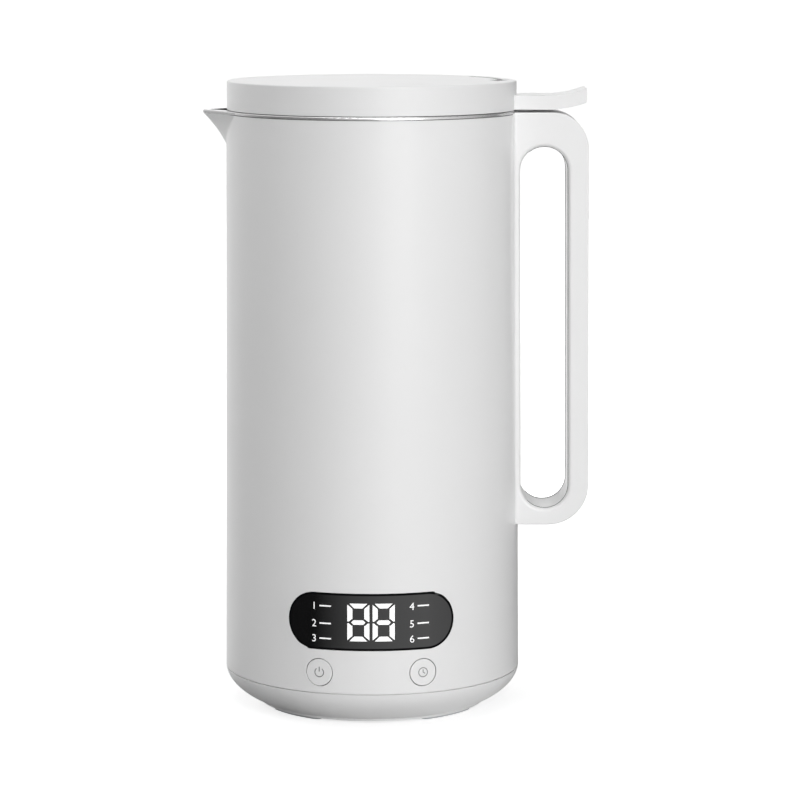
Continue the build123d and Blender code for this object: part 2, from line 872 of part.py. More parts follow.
# Screws that clamp the base cover to the pillars of the frame
base_screw = pan_screw(screw_radius, pillar_foot - screw_seat + screw_bite,
                       screw_head_radius, screw_head_height)
with BuildPart() as base_screws:
    with Locations(*[(x, y, screw_seat) for x, y in pillar_points]):
        add(base_screw)
base_screws.part.label = "base_screws"

# Drawn steel cup with its spout, rolled rim and welded bosses
cup_floor_bottom = cup_floor_top - cup_sheet
with BuildPart() as inner_cup:
    with BuildSketch(Plane.XZ) as cup_outside:
        Polygon((0, cup_floor_bottom), (cup_floor_radius + cup_sheet, cup_floor_bottom),
                (cup_radius(jacket_top) + cup_sheet, jacket_top), (0, jacket_top), align=None)
        fillet(cup_outside.vertices().group_by(Axis.Y)[0].sort_by(Axis.X)[-1],
               cup_corner_radius + cup_sheet)
    revolve(axis=Axis.Z)
    add(cup_beak)
    with BuildSketch(Plane.XY.offset(jacket_top)):
        Circle(rim_radius)
        add(beak_face(jacket_top, body_radius(jacket_top) - spout_root_depth,
                      spout_reach + spout_root_depth, spout_half_width, spout_tip_radius,
                      core_radius))
    extrude(amount=cup_rim_height)
    rim_edges = inner_cup.faces().sort_by(Axis.Z)[-1].edges()
    fillet(rim_edges, cup_rim_round)
    with BuildSketch(Plane.XZ) as cup_inside:
        Polygon((0, cup_floor_top), (cup_floor_radius, cup_floor_top),
                (cup_rim_inner, upper_end), (0, upper_end), align=None)
        fillet(cup_inside.vertices().group_by(Axis.Y)[0].sort_by(Axis.X)[-1], cup_corner_radius)
    revolve(axis=Axis.Z, mode=Mode.SUBTRACT)
    add(cup_channel, mode=Mode.SUBTRACT)
    add(beak_face(jacket_top, cup_radius(jacket_top) - spout_root_depth,
                  cup_spout_reach + spout_root_depth, cup_spout_half_width - cup_sheet / 2,
                  spout_tip_radius - cup_sheet, core_radius))
    extrude(amount=cup_rim_height + overrun, mode=Mode.SUBTRACT)
    with BuildSketch(Plane.XY.offset(cup_floor_bottom)):
        with Locations(*post_points):
            Circle(cup_boss_radius)
    extrude(amount=-cup_boss_length)
    with BuildSketch(Plane.XY.offset(cup_floor_bottom - cup_boss_length)):
        with Locations(*post_points):
            Circle(bolt_radius + fit)
    extrude(amount=cup_boss_length - cup_sheet, mode=Mode.SUBTRACT)
    with BuildSketch(Plane.XY.offset(cup_floor_bottom)):
        Circle(seal_bush_radius + fit)
        with Locations(polar_point(probe_circle, probe_angle)):
            Circle(probe_radius + fit)
    extrude(amount=2 * cup_sheet, mode=Mode.SUBTRACT)
inner_cup.part.label = "inner_cup"

# Lid cover: flat top with a short skirt, notched for the lever
lever_half = lever_width / 2
lid_inner_radius = lid_radius - lid_wall
lid_ceiling = lid_top - lid_wall
flange_bottom = upper_end + running
flange_top = flange_bottom + plug_wall
with BuildPart() as lid_cover:
    with BuildSketch(Plane.XY.offset(lid_bottom)):
        Circle(lid_radius)
    extrude(amount=lid_top - lid_bottom)
    fillet(lid_cover.edges().group_by(Axis.Z)[-1], lid_edge_radius)
    with BuildSketch(Plane.XY.offset(lid_bottom)):
        Circle(lid_inner_radius)
    extrude(amount=lid_ceiling - lid_bottom, mode=Mode.SUBTRACT)
    with BuildSketch(Plane.XY.offset(flange_top)):
        Circle(plug_flange_radius - plug_wall)
        Circle(plug_flange_radius - 2 * plug_wall, mode=Mode.SUBTRACT)
    extrude(amount=lid_ceiling - flange_top)
    with BuildSketch(Plane.YZ.offset(lever_root_x - fit)):
        with Locations((0, (lid_bottom + lever_bottom + lever_thickness) / 2)):
            Rectangle(lever_width + 2 * fit, lever_bottom + lever_thickness - lid_bottom + 2 * fit)
    extrude(amount=lid_radius - lever_root_x + overrun, mode=Mode.SUBTRACT)
lid_cover.part.label = "lid_cover"

# Plug: inner wall of the lid, with the seal's groove and a flange that closes the skirt
screw_spots = [(plug_radius - fit, side * lever_screw_pitch / 2) for side in (-1, 1)]
seal_top = seal_bottom + seal_height
groove_radius = plug_radius - seal_groove_depth
with BuildPart() as lid_plug:
    add(turned((0, plug_bottom), (plug_radius - plug_wall, plug_bottom),
               (plug_radius, plug_bottom + plug_wall), (plug_radius, seal_bottom - running),
               (groove_radius, seal_bottom - running), (groove_radius, seal_top + running),
               (plug_radius, seal_top + running), (plug_radius, flange_bottom),
               (plug_flange_radius, flange_bottom), (plug_flange_radius, flange_top),
               (0, flange_top)))
    with BuildSketch(Plane.XY.offset(plug_bottom + plug_wall)):
        Circle(groove_radius - plug_wall)
    extrude(amount=lid_top - plug_bottom, mode=Mode.SUBTRACT)
    with BuildSketch(Plane.XY.offset(seal_top + 2 * running)):
        with Locations(*screw_spots):
            Circle(small_screw_radius + small_head_radius / 2)
    extrude(amount=flange_bottom - seal_top - running)
    with BuildSketch(Plane.XY.offset(flange_top)):
        with Locations(*screw_spots):
            Circle(small_screw_radius + fit)
    extrude(amount=-small_bite - fit, mode=Mode.SUBTRACT)
lid_plug.part.label = "lid_plug"

# Silicone ring with two lips
lip_thickness = seal_height / 5
with BuildPart() as lid_seal:
    with BuildSketch(Plane.XZ):
        core = groove_radius + running
        lip_root = core + seal_groove_depth + lip_thickness / 2
        Polygon((core, seal_bottom), (lip_root, seal_bottom),
                (seal_radius, seal_bottom + lip_thickness),
                (seal_radius, seal_bottom + 2 * lip_thickness),
                (lip_root, seal_bottom + 1.5 * lip_thickness),
                (lip_root, seal_top - 2 * lip_thickness),
                (seal_radius, seal_top - lip_thickness), (seal_radius, seal_top),
                (core, seal_top), align=None)
    revolve(axis=Axis.Z)
lid_seal.part.label = "lid_seal"

# Thumb lever: flat tab over the handle whose tip curves up
lever_top = lever_bottom + lever_thickness
with BuildPart() as lid_lever:
    with BuildSketch(Plane.XZ) as lever_side:
        bend_length = lever_tip_x - lever_bend_x
        bend_radius = (bend_length * bend_length + lever_rise * lever_rise) / (2 * lever_rise)
        turn = asin(bend_length / bend_radius)
        upper_radius = bend_radius - lever_thickness
        tip_drop = (bend_radius - upper_radius) * (1 - cos(turn))
        with BuildLine():
            Line((plug_flange_radius + fit, lever_bottom), (lever_bend_x, lever_bottom))
            RadiusArc((lever_bend_x, lever_bottom),
                      (lever_tip_x, lever_bottom + lever_rise), -bend_radius)
            Line((lever_tip_x, lever_bottom + lever_rise),
                 (lever_tip_x, lever_top + lever_rise + tip_drop))
            ThreePointArc((lever_tip_x, lever_top + lever_rise + tip_drop),
                          (lever_bend_x + bend_length / 2,
                           lever_top + (lever_rise + tip_drop) / 4), (lever_bend_x, lever_top))
            Polyline((lever_bend_x, lever_top), (lever_root_x, lever_top),
                     (lever_root_x, flange_top), (plug_flange_radius + fit, flange_top),
                     (plug_flange_radius + fit, lever_bottom))
        make_face()
    extrude(amount=lever_half, both=True)
    outer_edges = lid_lever.edges().filter_by(lambda e: e.center().X > lid_radius
                                              and e.center().Z > lever_bottom + overrun)
    fillet(outer_edges, lever_edge_radius)
    with BuildSketch(Plane.XY.offset(lever_bottom)):
        with Locations((magnet_x, 0)):
            Circle(magnet_radius + fit)
    extrude(amount=magnet_height + running, mode=Mode.SUBTRACT)
    with BuildSketch(Plane.XY.offset(flange_top)):
        with Locations(*screw_spots):
            Circle(small_screw_radius + fit)
    extrude(amount=lever_thickness, mode=Mode.SUBTRACT)
lid_lever.part.label = "lid_lever"

# Magnet under the lever, above the switch in the handle
with BuildPart() as lid_magnet:
    with BuildSketch(Plane.XY.offset(lever_bottom + running)):
        with Locations((magnet_x, 0)):
            Circle(magnet_radius)
    extrude(amount=magnet_height)
lid_magnet.part.label = "lid_magnet"

# Screws from the lever's root down into the plug
lid_screw = pan_screw(small_screw_radius, lever_top - flange_top + small_bite,
                      small_head_radius, small_head_height)
with BuildPart() as lid_screws:
    for x, y in screw_spots:
        add(Location((x, y, lever_top), (180, 0, 0)) * lid_screw)
lid_screws.part.label = "lid_screws"


def segment_shapes(start):
    """Seven bars of one digit with mitred ends, as outlines from the digit's left side."""
    w, h, s, g = digit_width, digit_height / 2, digit_stroke, digit_gap
    top = [(g, h), (w - g, h), (w - s - g, h - s), (s + g, h - s)]
    side = [(0, h - g), (s, h - s - g), (s, s / 2 + g), (s / 2, g), (0, g)]
    middle = [(s / 2 + g, 0), (s + g, s / 2), (w - s - g, s / 2), (w - s / 2 - g, 0),
              (w - s - g, -s / 2), (s + g, -s / 2)]
    shapes = [top, side, middle, [(x, -z) for x, z in top], [(x, -z) for x, z in side],
              [(w - x, z) for x, z in side], [(w - x, -z) for x, z in side]]
    return [[(start + x, window_centre + z) for x, z in shape] for shape in shapes]


digit_starts = (-(digit_pitch + digit_width) / 2, (digit_pitch - digit_width) / 2)
with BuildPart() as digit_bars:
    with BuildSketch(Plane.XZ.offset(core_radius)):
        for start in digit_starts:
            for shape in segment_shapes(start):
                Polygon(*shape, align=None)
    extrude(amount=seam_radius)

# Display window, curved with the jacket, and the milky bars of its digits
with BuildPart() as display_window:
    add(front_band(0, window_thickness))
    add(window_prism(fit), mode=Mode.INTERSECT)
    add(digit_bars.part, mode=Mode.SUBTRACT)
display_window.part.label = "display_window"

with BuildPart() as digit_segments:
    add(front_band(0, window_thickness))
    add(digit_bars.part, mode=Mode.INTERSECT)
digit_segments.part.label = "digit_segments"

# Lamp module behind the digits
with BuildPart() as digit_module:
    with BuildSketch(Plane.XZ.offset(display_board_y)):
        with Locations((0, window_centre)):
            Rectangle(module_width, module_height)
    extrude(amount=module_depth)
digit_module.part.label = "digit_module"

# Light baffles with one cell for each lamp beside the digits
with BuildPart() as light_baffles:
    with BuildSketch(Plane.XZ.offset(display_board_y)):
        for side in (-1, 1):
            with Locations((side * (baffle_inner_x + baffle_outer_x) / 2, window_centre)):
                Rectangle(baffle_outer_x - baffle_inner_x, baffle_height)
        with Locations(*cell_spots()):
            Rectangle(cell_width, cell_height, mode=Mode.SUBTRACT)
    extrude(amount=rim_radius - display_board_y)
    add(turned((0, seam_height), (base_inner_radius - fit, seam_height),
               (body_radius(jacket_top) - jacket_wall - fit, jacket_top), (0, jacket_top)),
        mode=Mode.INTERSECT)
light_baffles.part.label = "light_baffles"

# Display board and its four screws
with BuildPart() as display_board:
    with BuildSketch(Plane.XZ.offset(display_board_y)):
        with Locations((0, window_centre)):
            Rectangle(display_board_width, display_board_height)
            with GridLocations(2 * board_post_x, 2 * board_post_z, 2, 2):
                Circle(small_screw_radius + fit, mode=Mode.SUBTRACT)
    extrude(amount=-board_thickness)
display_board.part.label = "display_board"

# Tact switches and their two small boards, square to the keys' axes
with BuildPart() as tact_switches:
    for key_plane in key_planes:
        with BuildSketch(key_plane.offset(key_board_front)):
            Rectangle(switch_size, switch_size)
        extrude(amount=switch_depth)
        with BuildSketch(key_plane.offset(switch_face)):
            Circle(plunger_radius + fit)
        extrude(amount=key_stem_end - plunger_length - key_travel - loose - switch_face,
                mode=Mode.SUBTRACT)
tact_switches.part.label = "tact_switches"

with BuildPart() as key_boards:
    for key_plane in key_planes:
        with BuildSketch(key_plane.offset(key_board_front)):
            Rectangle(key_board_width, key_board_height)
        extrude(amount=-board_thickness)
key_boards.part.label = "key_boards"


def push_key(key_plane):
    """Key cap that follows the jacket's surface, with a keeper flange and a stem."""
    flange_face = key_boss_end - running
    with BuildPart() as form:
        with BuildSketch(key_plane.offset(flange_face - key_flange)):
            Circle(key_radius)
        extrude(amount=seam_radius)
        add(turned((0, seam_height), (seam_radius, seam_height), (rim_radius, jacket_top),
                   (0, jacket_top)), mode=Mode.INTERSECT)
        with BuildSketch(key_plane.offset(flange_face - key_flange)):
            Circle(key_flange_radius)
        extrude(amount=key_flange)
        with BuildSketch(key_plane.offset(key_stem_end)):
            Circle(key_stem_radius)
        extrude(amount=flange_face - key_stem_end)
    return form.part


def key_plunger(key_plane):
    """Plunger of a tact switch, which the key's stem pushes."""
    with BuildPart() as form:
        with BuildSketch(key_plane.offset(key_stem_end)):
            Circle(plunger_radius)
        extrude(amount=-plunger_length)
    return form.part


with BuildPart() as on_off_button:
    add(push_key(key_planes[0]))
on_off_button.part.label = "on_off_button"

with BuildPart() as timer_button:
    add(push_key(key_planes[1]))
timer_button.part.label = "timer_button"

with BuildPart() as on_off_plunger:
    add(key_plunger(key_planes[0]))
on_off_plunger.part.label = "on_off_plunger"

with BuildPart() as timer_plunger:
    add(key_plunger(key_planes[1]))
timer_plunger.part.label = "timer_plunger"

# Frame: ring plate under the cup, four posts up to it and four pillars down to the base
frame_plate_top = frame_plate_bottom + frame_plate
post_top = cup_floor_bottom - cup_boss_length
with BuildPart() as support_frame:
    with BuildSketch(Plane.XY.offset(frame_plate_bottom)):
        Circle(frame_outer_radius)
        Circle(frame_inner_radius, mode=Mode.SUBTRACT)
        with Locations(*ear_points):
            Circle(damper_neck_radius, mode=Mode.SUBTRACT)
    extrude(amount=frame_plate)
    with BuildSketch(Plane.XY.offset(pillar_foot)):
        with Locations(*pillar_points):
            Circle(pillar_radius)
    extrude(amount=frame_plate_bottom - pillar_foot)
    with BuildSketch(Plane.XY.offset(frame_plate_top)):
        with Locations(*post_points):
            Circle(cup_boss_radius)
    extrude(amount=post_top - frame_plate_top)
    with BuildSketch(Plane.XY.offset(pillar_foot)):
        with Locations(*pillar_points):
            Circle(screw_radius + fit)
    extrude(amount=screw_bite + running, mode=Mode.SUBTRACT)
    with BuildSketch(Plane.XY.offset(frame_plate_bottom)):
        with Locations(*post_points):
            Circle(bolt_radius + fit)
    extrude(amount=post_top - frame_plate_bottom, mode=Mode.SUBTRACT)
    with BuildSketch(Plane.XY.offset(frame_plate_bottom)):
        with Locations(*post_points):
            Circle(screw_head_radius + running)
    extrude(amount=pillar_foot - frame_plate_bottom, mode=Mode.SUBTRACT)
support_frame.part.label = "support_frame"

# Screws up through the posts into the cup's bosses
frame_screw = pan_screw(bolt_radius, post_top - frame_plate_bottom + cup_boss_length - overrun,
                        screw_head_radius, screw_head_height)
with BuildPart() as frame_screws:
    with Locations(*[(x, y, frame_plate_bottom) for x, y in post_points]):
        add(frame_screw)
frame_screws.part.label = "frame_screws"


def arc_strip(inner, outer, middle, angle):
    """Strip between two circles about the origin, over an angle centred on a direction."""
    with BuildSketch() as strip:
        with BuildLine():
            far = CenterArc((0, 0), outer, middle - angle / 2, angle)
            near = CenterArc((0, 0), inner, middle - angle / 2, angle)
            Line(far @ 0, near @ 0)
            Line(far @ 1, near @ 1)
        make_face()
    return strip.sketch


# Rubber dampers in the frame's plate, which the motor's ears rest on
upper_disc_top = upper_disc_bottom + bracket_disc
damper_bottom = frame_plate_bottom - damper_lip
with BuildPart() as motor_dampers:
    with BuildSketch(Plane.XY.offset(damper_bottom)):
        with Locations(*ear_points):
            Circle(damper_radius)
    extrude(amount=damper_lip)
    with BuildSketch(Plane.XY.offset(frame_plate_bottom)):
        with Locations(*ear_points):
            Circle(damper_neck_radius - fit)
    extrude(amount=frame_plate)
    with BuildSketch(Plane.XY.offset(frame_plate_top)):
        with Locations(*ear_points):
            Circle(damper_radius)
    extrude(amount=upper_disc_bottom - frame_plate_top)
    with BuildSketch(Plane.XY.offset(damper_bottom)):
        with Locations(*ear_points):
            Circle(damper_bore_radius)
    extrude(amount=upper_disc_bottom - damper_bottom, mode=Mode.SUBTRACT)
motor_dampers.part.label = "motor_dampers"

# Screws up through the dampers into the ears
motor_screw = pan_screw(screw_radius, upper_disc_top - damper_bottom, screw_head_radius,
                        screw_head_height)
with BuildPart() as motor_screws:
    with Locations(*[(x, y, damper_bottom) for x, y in ear_points]):
        add(motor_screw)
motor_screws.part.label = "motor_screws"

# Upper bracket: disc with four ears, a boss for the bearing and two pillars on the stator
stator_top = stator_bottom + stator_length
bolt_spots = ((0, -bolt_lug_y), (0, bolt_lug_y))
air_arcs = [CenterArc((0, 0), vent_slot_circle,
                      post_start_angle + 360 * i / post_count - vent_slot_angle / 2,
                      vent_slot_angle) for i in range(post_count)]
with BuildPart() as upper_bracket:
    with BuildSketch(Plane.XY.offset(upper_disc_bottom)):
        Circle(upper_disc_radius)
        with PolarLocations(ear_circle / 2, post_count):
            Rectangle(ear_circle, 2 * ear_radius)
        with Locations(*ear_points):
            Circle(ear_radius)
        for arc in air_arcs:
            SlotArc(arc, vent_slot_width, mode=Mode.SUBTRACT)
    extrude(amount=bracket_disc)
    with BuildSketch(Plane.XY.offset(upper_bearing_bottom - bearing_lip)):
        Circle(upper_bearing_radius + bracket_boss_wall)
    extrude(amount=upper_disc_top - upper_bearing_bottom + bearing_lip)
    with BuildSketch(Plane.XY.offset(stator_top)):
        with Locations(*bolt_spots):
            Circle(bolt_lug_radius)
    extrude(amount=upper_disc_bottom - stator_top)
    with BuildSketch(Plane.XY.offset(upper_bearing_bottom)):
        Circle(upper_bearing_radius + fit)
    extrude(amount=upper_bearing_width + overrun, mode=Mode.SUBTRACT)
    with BuildSketch(Plane.XY.offset(upper_bearing_bottom)):
        Circle(upper_bearing_radius - bracket_boss_wall)
    extrude(amount=-bearing_lip, mode=Mode.SUBTRACT)
    with BuildSketch(Plane.XY.offset(stator_top)):
        with Locations(*bolt_spots):
            Circle(bolt_radius + fit)
    extrude(amount=upper_disc_top - stator_top, mode=Mode.SUBTRACT)
    with BuildSketch(Plane.XY.offset(upper_disc_bottom)):
        with Locations(*ear_points):
            Circle(screw_radius + fit)
    extrude(amount=bracket_disc, mode=Mode.SUBTRACT)
upper_bracket.part.label = "upper_bracket"

# Lower bracket: disc with a boss for the bearing, two pillars and seats for the brush holders
lower_disc_top = lower_disc_bottom + bracket_disc
brush_height_middle = commutator_bottom + commutator_length / 2
holder_tall = brush_height + 2 * holder_wall
holder_wide = brush_width + 2 * holder_wall
holder_bottom = brush_height_middle - holder_tall / 2
with BuildPart() as lower_bracket:
    with BuildSketch(Plane.XY.offset(lower_disc_bottom)):
        Circle(lower_disc_radius)
        for arc in air_arcs:
            SlotArc(arc, vent_slot_width, mode=Mode.SUBTRACT)
    extrude(amount=bracket_disc)
    with BuildSketch(Plane.XY.offset(lower_bearing_bottom - bearing_lip)):
        Circle(lower_bearing_radius + bracket_boss_wall)
    extrude(amount=lower_bearing_width + bearing_lip)
    with BuildSketch(Plane.XY.offset(lower_disc_top)):
        with Locations(*bolt_spots):
            Circle(bolt_lug_radius)
    extrude(amount=stator_bottom - lower_disc_top)
    with BuildSketch(Plane.XY.offset(lower_disc_top)):
        for side in (-1, 1):
            with Locations((side * (holder_inner_x + holder_length * 0.55), 0)):
                Rectangle(holder_length * 0.6, holder_wide)
    extrude(amount=holder_bottom - lower_disc_top)
    with BuildSketch(Plane.XY.offset(lower_bearing_bottom)):
        Circle(lower_bearing_radius + fit)
    extrude(amount=lower_bearing_width + overrun, mode=Mode.SUBTRACT)
    with BuildSketch(Plane.XY.offset(lower_bearing_bottom)):
        Circle(lower_bearing_radius - bracket_boss_wall)
    extrude(amount=-bearing_lip, mode=Mode.SUBTRACT)
    with BuildSketch(Plane.XY.offset(lower_disc_top + holder_wall)):
        with Locations(*bolt_spots):
            Circle(bolt_radius + fit)
    extrude(amount=stator_bottom - lower_disc_top, mode=Mode.SUBTRACT)
lower_bracket.part.label = "lower_bracket"

# Ball bearings
with BuildPart() as upper_bearing:
    with BuildSketch(Plane.XY.offset(upper_bearing_bottom)):
        Circle(upper_bearing_radius)
        Circle(shaft_radius + bearing_gap, mode=Mode.SUBTRACT)
    extrude(amount=upper_bearing_width)
upper_bearing.part.label = "upper_bearing"

with BuildPart() as lower_bearing:
    with BuildSketch(Plane.XY.offset(lower_bearing_bottom)):
        Circle(lower_bearing_radius)
        Circle(shaft_lower_radius + bearing_gap, mode=Mode.SUBTRACT)
    extrude(amount=lower_bearing_width)
lower_bearing.part.label = "lower_bearing"

# Stator: laminated ring with two poles and two lugs for the long bolts
with BuildPart() as stator_core:
    with BuildSketch(Plane.XY.offset(stator_bottom)):
        Circle(stator_radius)
        Circle(yoke_radius, mode=Mode.SUBTRACT)
        for middle in (0, 180):
            add(arc_strip(pole_radius, pole_radius + pole_thickness, middle, pole_angle))
        for side in (-1, 1):
            with Locations((side * (pole_radius + yoke_radius + pole_thickness) / 2, 0)):
                Rectangle(yoke_radius - pole_radius, neck_width)
        with Locations(*bolt_spots):
            Circle(bolt_lug_radius)
            Circle(bolt_radius + fit, mode=Mode.SUBTRACT)
    extrude(amount=stator_length)
stator_core.part.label = "stator_core"

# Field coils: saddles round the necks of the poles, with flared end turns
coil_inner_radius = pole_radius + pole_thickness + loose
with BuildPart() as field_coils:
    with BuildSketch(Plane.XY.offset(stator_bottom - coil_overhang)):
        for middle in (0, 180):
            add(arc_strip(coil_inner_radius, yoke_radius - loose, middle, coil_angle))
    extrude(amount=stator_length + 2 * coil_overhang)
    with BuildSketch(Plane.XY.offset(stator_bottom - loose)):
        Rectangle(2 * stator_radius, neck_width + 2 * loose)
    extrude(amount=stator_length + 2 * loose, mode=Mode.SUBTRACT)
    for foot in (stator_bottom - coil_overhang, stator_top + loose):
        with BuildSketch(Plane.XY.offset(foot)):
            for middle in (0, 180):
                add(arc_strip(coil_inner_radius, coil_outer_radius, middle, coil_angle))
        extrude(amount=coil_overhang - loose)
field_coils.part.label = "field_coils"

# Brush holders, brushes and springs on both sides of the commutator
brush_inner_x = commutator_radius + brush_gap
holder_end = holder_inner_x + holder_length
with BuildPart() as brush_holders:
    for side in (-1, 1):
        with BuildSketch(Plane.YZ.offset(side * holder_inner_x)):
            with Locations((0, brush_height_middle)):
                Rectangle(holder_wide, holder_tall)
        extrude(amount=side * holder_length)
        with BuildSketch(Plane.YZ.offset(side * holder_inner_x)):
            with Locations((0, brush_height_middle)):
                Rectangle(brush_width + 2 * fit, brush_height + 2 * fit)
        extrude(amount=side * (holder_length - holder_wall), mode=Mode.SUBTRACT)
brush_holders.part.label = "brush_holders"

with BuildPart() as carbon_brushes:
    for side in (-1, 1):
        with BuildSketch(Plane.YZ.offset(side * brush_inner_x)):
            with Locations((0, brush_height_middle)):
                Rectangle(brush_width, brush_height)
        extrude(amount=side * brush_length)
carbon_brushes.part.label = "carbon_brushes"

spring_start = brush_inner_x + brush_length
with BuildPart() as brush_springs:
    for side in (-1, 1):
        with BuildSketch(Plane.YZ.offset(side * spring_start)):
            with Locations((0, brush_height_middle)):
                Circle(spring_radius)
                Circle(spring_radius - spring_wall, mode=Mode.SUBTRACT)
        extrude(amount=side * (holder_end - holder_wall - spring_start))
brush_springs.part.label = "brush_springs"

# Long bolts from the upper bracket through the stator into the lower bracket
motor_bolt = pan_screw(bolt_radius, upper_disc_top - lower_disc_top - 2 * holder_wall,
                       screw_head_radius, screw_head_height)
with BuildPart() as motor_bolts:
    for x, y in bolt_spots:
        add(Location((x, y, upper_disc_top), (180, 0, 0)) * motor_bolt)
motor_bolts.part.label = "motor_bolts"

# Shaft, stepped for its bearings, the armature and the blade
with BuildPart() as motor_shaft:
    add(turned((0, shaft_bottom), (shaft_lower_radius, shaft_bottom),
               (shaft_lower_radius, shaft_shoulder), (shaft_radius, shaft_shoulder),
               (shaft_radius, shaft_neck), (shaft_upper_radius, shaft_neck),
               (shaft_upper_radius, blade_seat), (shaft_tip_radius, blade_seat),
               (shaft_tip_radius, shaft_tip), (0, shaft_tip)))
motor_shaft.part.label = "motor_shaft"

# Armature: slotted core and its windings
slot_depth = armature_radius - armature_hub_radius
with BuildPart() as armature_core:
    with BuildSketch(Plane.XY.offset(stator_bottom)):
        Circle(armature_radius)
        with PolarLocations(armature_hub_radius + slot_depth, armature_slots):
            Rectangle(2 * slot_depth, armature_slot_width, mode=Mode.SUBTRACT)
        Circle(shaft_radius + fit, mode=Mode.SUBTRACT)
    extrude(amount=stator_length)
armature_core.part.label = "armature_core"

with BuildPart() as armature_windings:
    with BuildSketch(Plane.XY.offset(stator_bottom)):
        with PolarLocations((armature_hub_radius + fit + end_turn_radius) / 2, armature_slots):
            Rectangle(end_turn_radius - armature_hub_radius - fit,
                      armature_slot_width - 2 * fit)
    extrude(amount=stator_length)
    for foot in (stator_bottom - end_turn_height, stator_top):
        with BuildSketch(Plane.XY.offset(foot)):
            Circle(end_turn_radius)
            Circle(shaft_radius + fit, mode=Mode.SUBTRACT)
        extrude(amount=end_turn_height)
armature_windings.part.label = "armature_windings"

# Commutator with its risers
with BuildPart() as commutator:
    with BuildSketch(Plane.XY.offset(commutator_bottom)):
        Circle(commutator_radius)
        Circle(shaft_radius + fit, mode=Mode.SUBTRACT)
    extrude(amount=commutator_length)
    with BuildSketch(Plane.XY.offset(commutator_bottom + commutator_length - riser_height)):
        Circle(riser_radius)
        Circle(commutator_radius - fit, mode=Mode.SUBTRACT)
    extrude(amount=riser_height)
commutator.part.label = "commutator"

# Cooling fan below the motor
with BuildPart() as cooling_fan:
    with BuildSketch(Plane.XY.offset(fan_bottom)):
        Circle(fan_radius)
    extrude(amount=fan_disc)
    with BuildSketch(Plane.XY.offset(fan_bottom)) as blade_section:
        with PolarLocations((fan_radius + fan_hub_radius) / 2, fan_blades):
            Rectangle(2 * (fan_radius - fan_hub_radius), fan_blade_thickness,
                      rotation=fan_blade_lean)
        Circle(fan_radius, mode=Mode.INTERSECT)
        Circle(fan_hub_radius)
    extrude(amount=fan_height)
    with BuildSketch(Plane.XY.offset(fan_bottom)):
        Circle(shaft_lower_radius + fit)
    extrude(amount=fan_height, mode=Mode.SUBTRACT)
cooling_fan.part.label = "cooling_fan"

# Blade: pressed sheet with two wings bent up and two bent down
blade_bottom = blade_seat + washer_thickness
blade_root = washer_radius + loose + blade_sheet * sin(radians(blade_bend))
with BuildPart() as blade_wing:
    wing_length = blade_reach - blade_root
    with BuildSketch():
        Polygon((0, -blade_width / 2), (wing_length, -blade_tip_width / 2),
                (wing_length, blade_tip_width / 2), (0, blade_width / 2), align=None)
    extrude(amount=blade_sheet)
    wing_top = blade_wing.faces().sort_by(Axis.Z)[-1]
    chamfer(wing_top.edges().sort_by(Axis.Y)[-1], length=blade_bevel, length2=blade_sheet * 0.8,
            reference=wing_top)
with BuildPart() as blade:
    with BuildSketch(Plane.XY.offset(blade_bottom)):
        Circle(blade_hub_radius)
    extrude(amount=blade_sheet)
    for i, tilt in enumerate((blade_bend, -blade_droop, blade_bend, -blade_droop)):
        turn = Location((0, 0, blade_bottom), (0, 0, 90 * i))
        add(turn * Location((blade_root, 0, 0), (0, -tilt, 0)) * blade_wing.part)
    with BuildSketch(Plane.XY.offset(blade_bottom - overrun)):
        Circle(shaft_tip_radius + fit)
    extrude(amount=blade_sheet + 2 * overrun, mode=Mode.SUBTRACT)
blade.part.label = "blade"

washer_feet = (blade_seat, blade_bottom + blade_sheet)
with BuildPart() as blade_washers:
    for foot in washer_feet:
        with BuildSketch(Plane.XY.offset(foot)):
            Circle(washer_radius)
            Circle(shaft_tip_radius + fit, mode=Mode.SUBTRACT)
        extrude(amount=washer_thickness)
blade_washers.part.label = "blade_washers"

nut_foot = washer_feet[1] + washer_thickness
with BuildPart() as blade_nut:
    with BuildSketch(Plane.XY.offset(nut_foot + nut_height)):
        Circle(nut_dome_radius)
    extrude(amount=nut_dome)
    fillet(blade_nut.edges().group_by(Axis.Z)[-1], nut_dome - fit)
    with BuildSketch(Plane.XY.offset(nut_foot)):
        RegularPolygon(nut_width / 2, 6, major_radius=False)
    extrude(amount=nut_height)
    with BuildSketch(Plane.XY.offset(nut_foot)):
        Circle(shaft_tip_radius + fit)
    extrude(amount=shaft_tip + fit - nut_foot, mode=Mode.SUBTRACT)
blade_nut.part.label = "blade_nut"

# Bush that holds the shaft seal in the cup's floor, with the nut that clamps it from below
seal_ring_top = cup_floor_top + loose
with BuildPart() as seal_housing:
    add(turned((shaft_upper_radius + running, seal_ring_top),
               (seal_ring_radius + fit, seal_ring_top), (seal_ring_radius + fit, seal_bush_bottom),
               (seal_bush_radius, seal_bush_bottom), (seal_bush_radius, cup_floor_top),
               (seal_bush_flange_radius, cup_floor_top),
               (seal_bush_flange_radius, cup_floor_top + seal_bush_flange / 2),
               (seal_bush_radius, cup_floor_top + seal_bush_flange),
               (shaft_upper_radius + running, cup_floor_top + seal_bush_flange)))
seal_housing.part.label = "seal_housing"

with BuildPart() as seal_nut:
    with BuildSketch(Plane.XY.offset(cup_floor_bottom)):
        RegularPolygon(seal_nut_width / 2, 6, major_radius=False)
        Circle(seal_bush_radius + fit, mode=Mode.SUBTRACT)
    extrude(amount=-seal_nut_height)
seal_nut.part.label = "seal_nut"

with BuildPart() as shaft_seal:
    with BuildSketch(Plane.XY.offset(seal_ring_top)):
        Circle(seal_ring_radius)
        Circle(shaft_upper_radius + fit, mode=Mode.SUBTRACT)
    extrude(amount=-seal_ring_height)
shaft_seal.part.label = "shaft_seal"

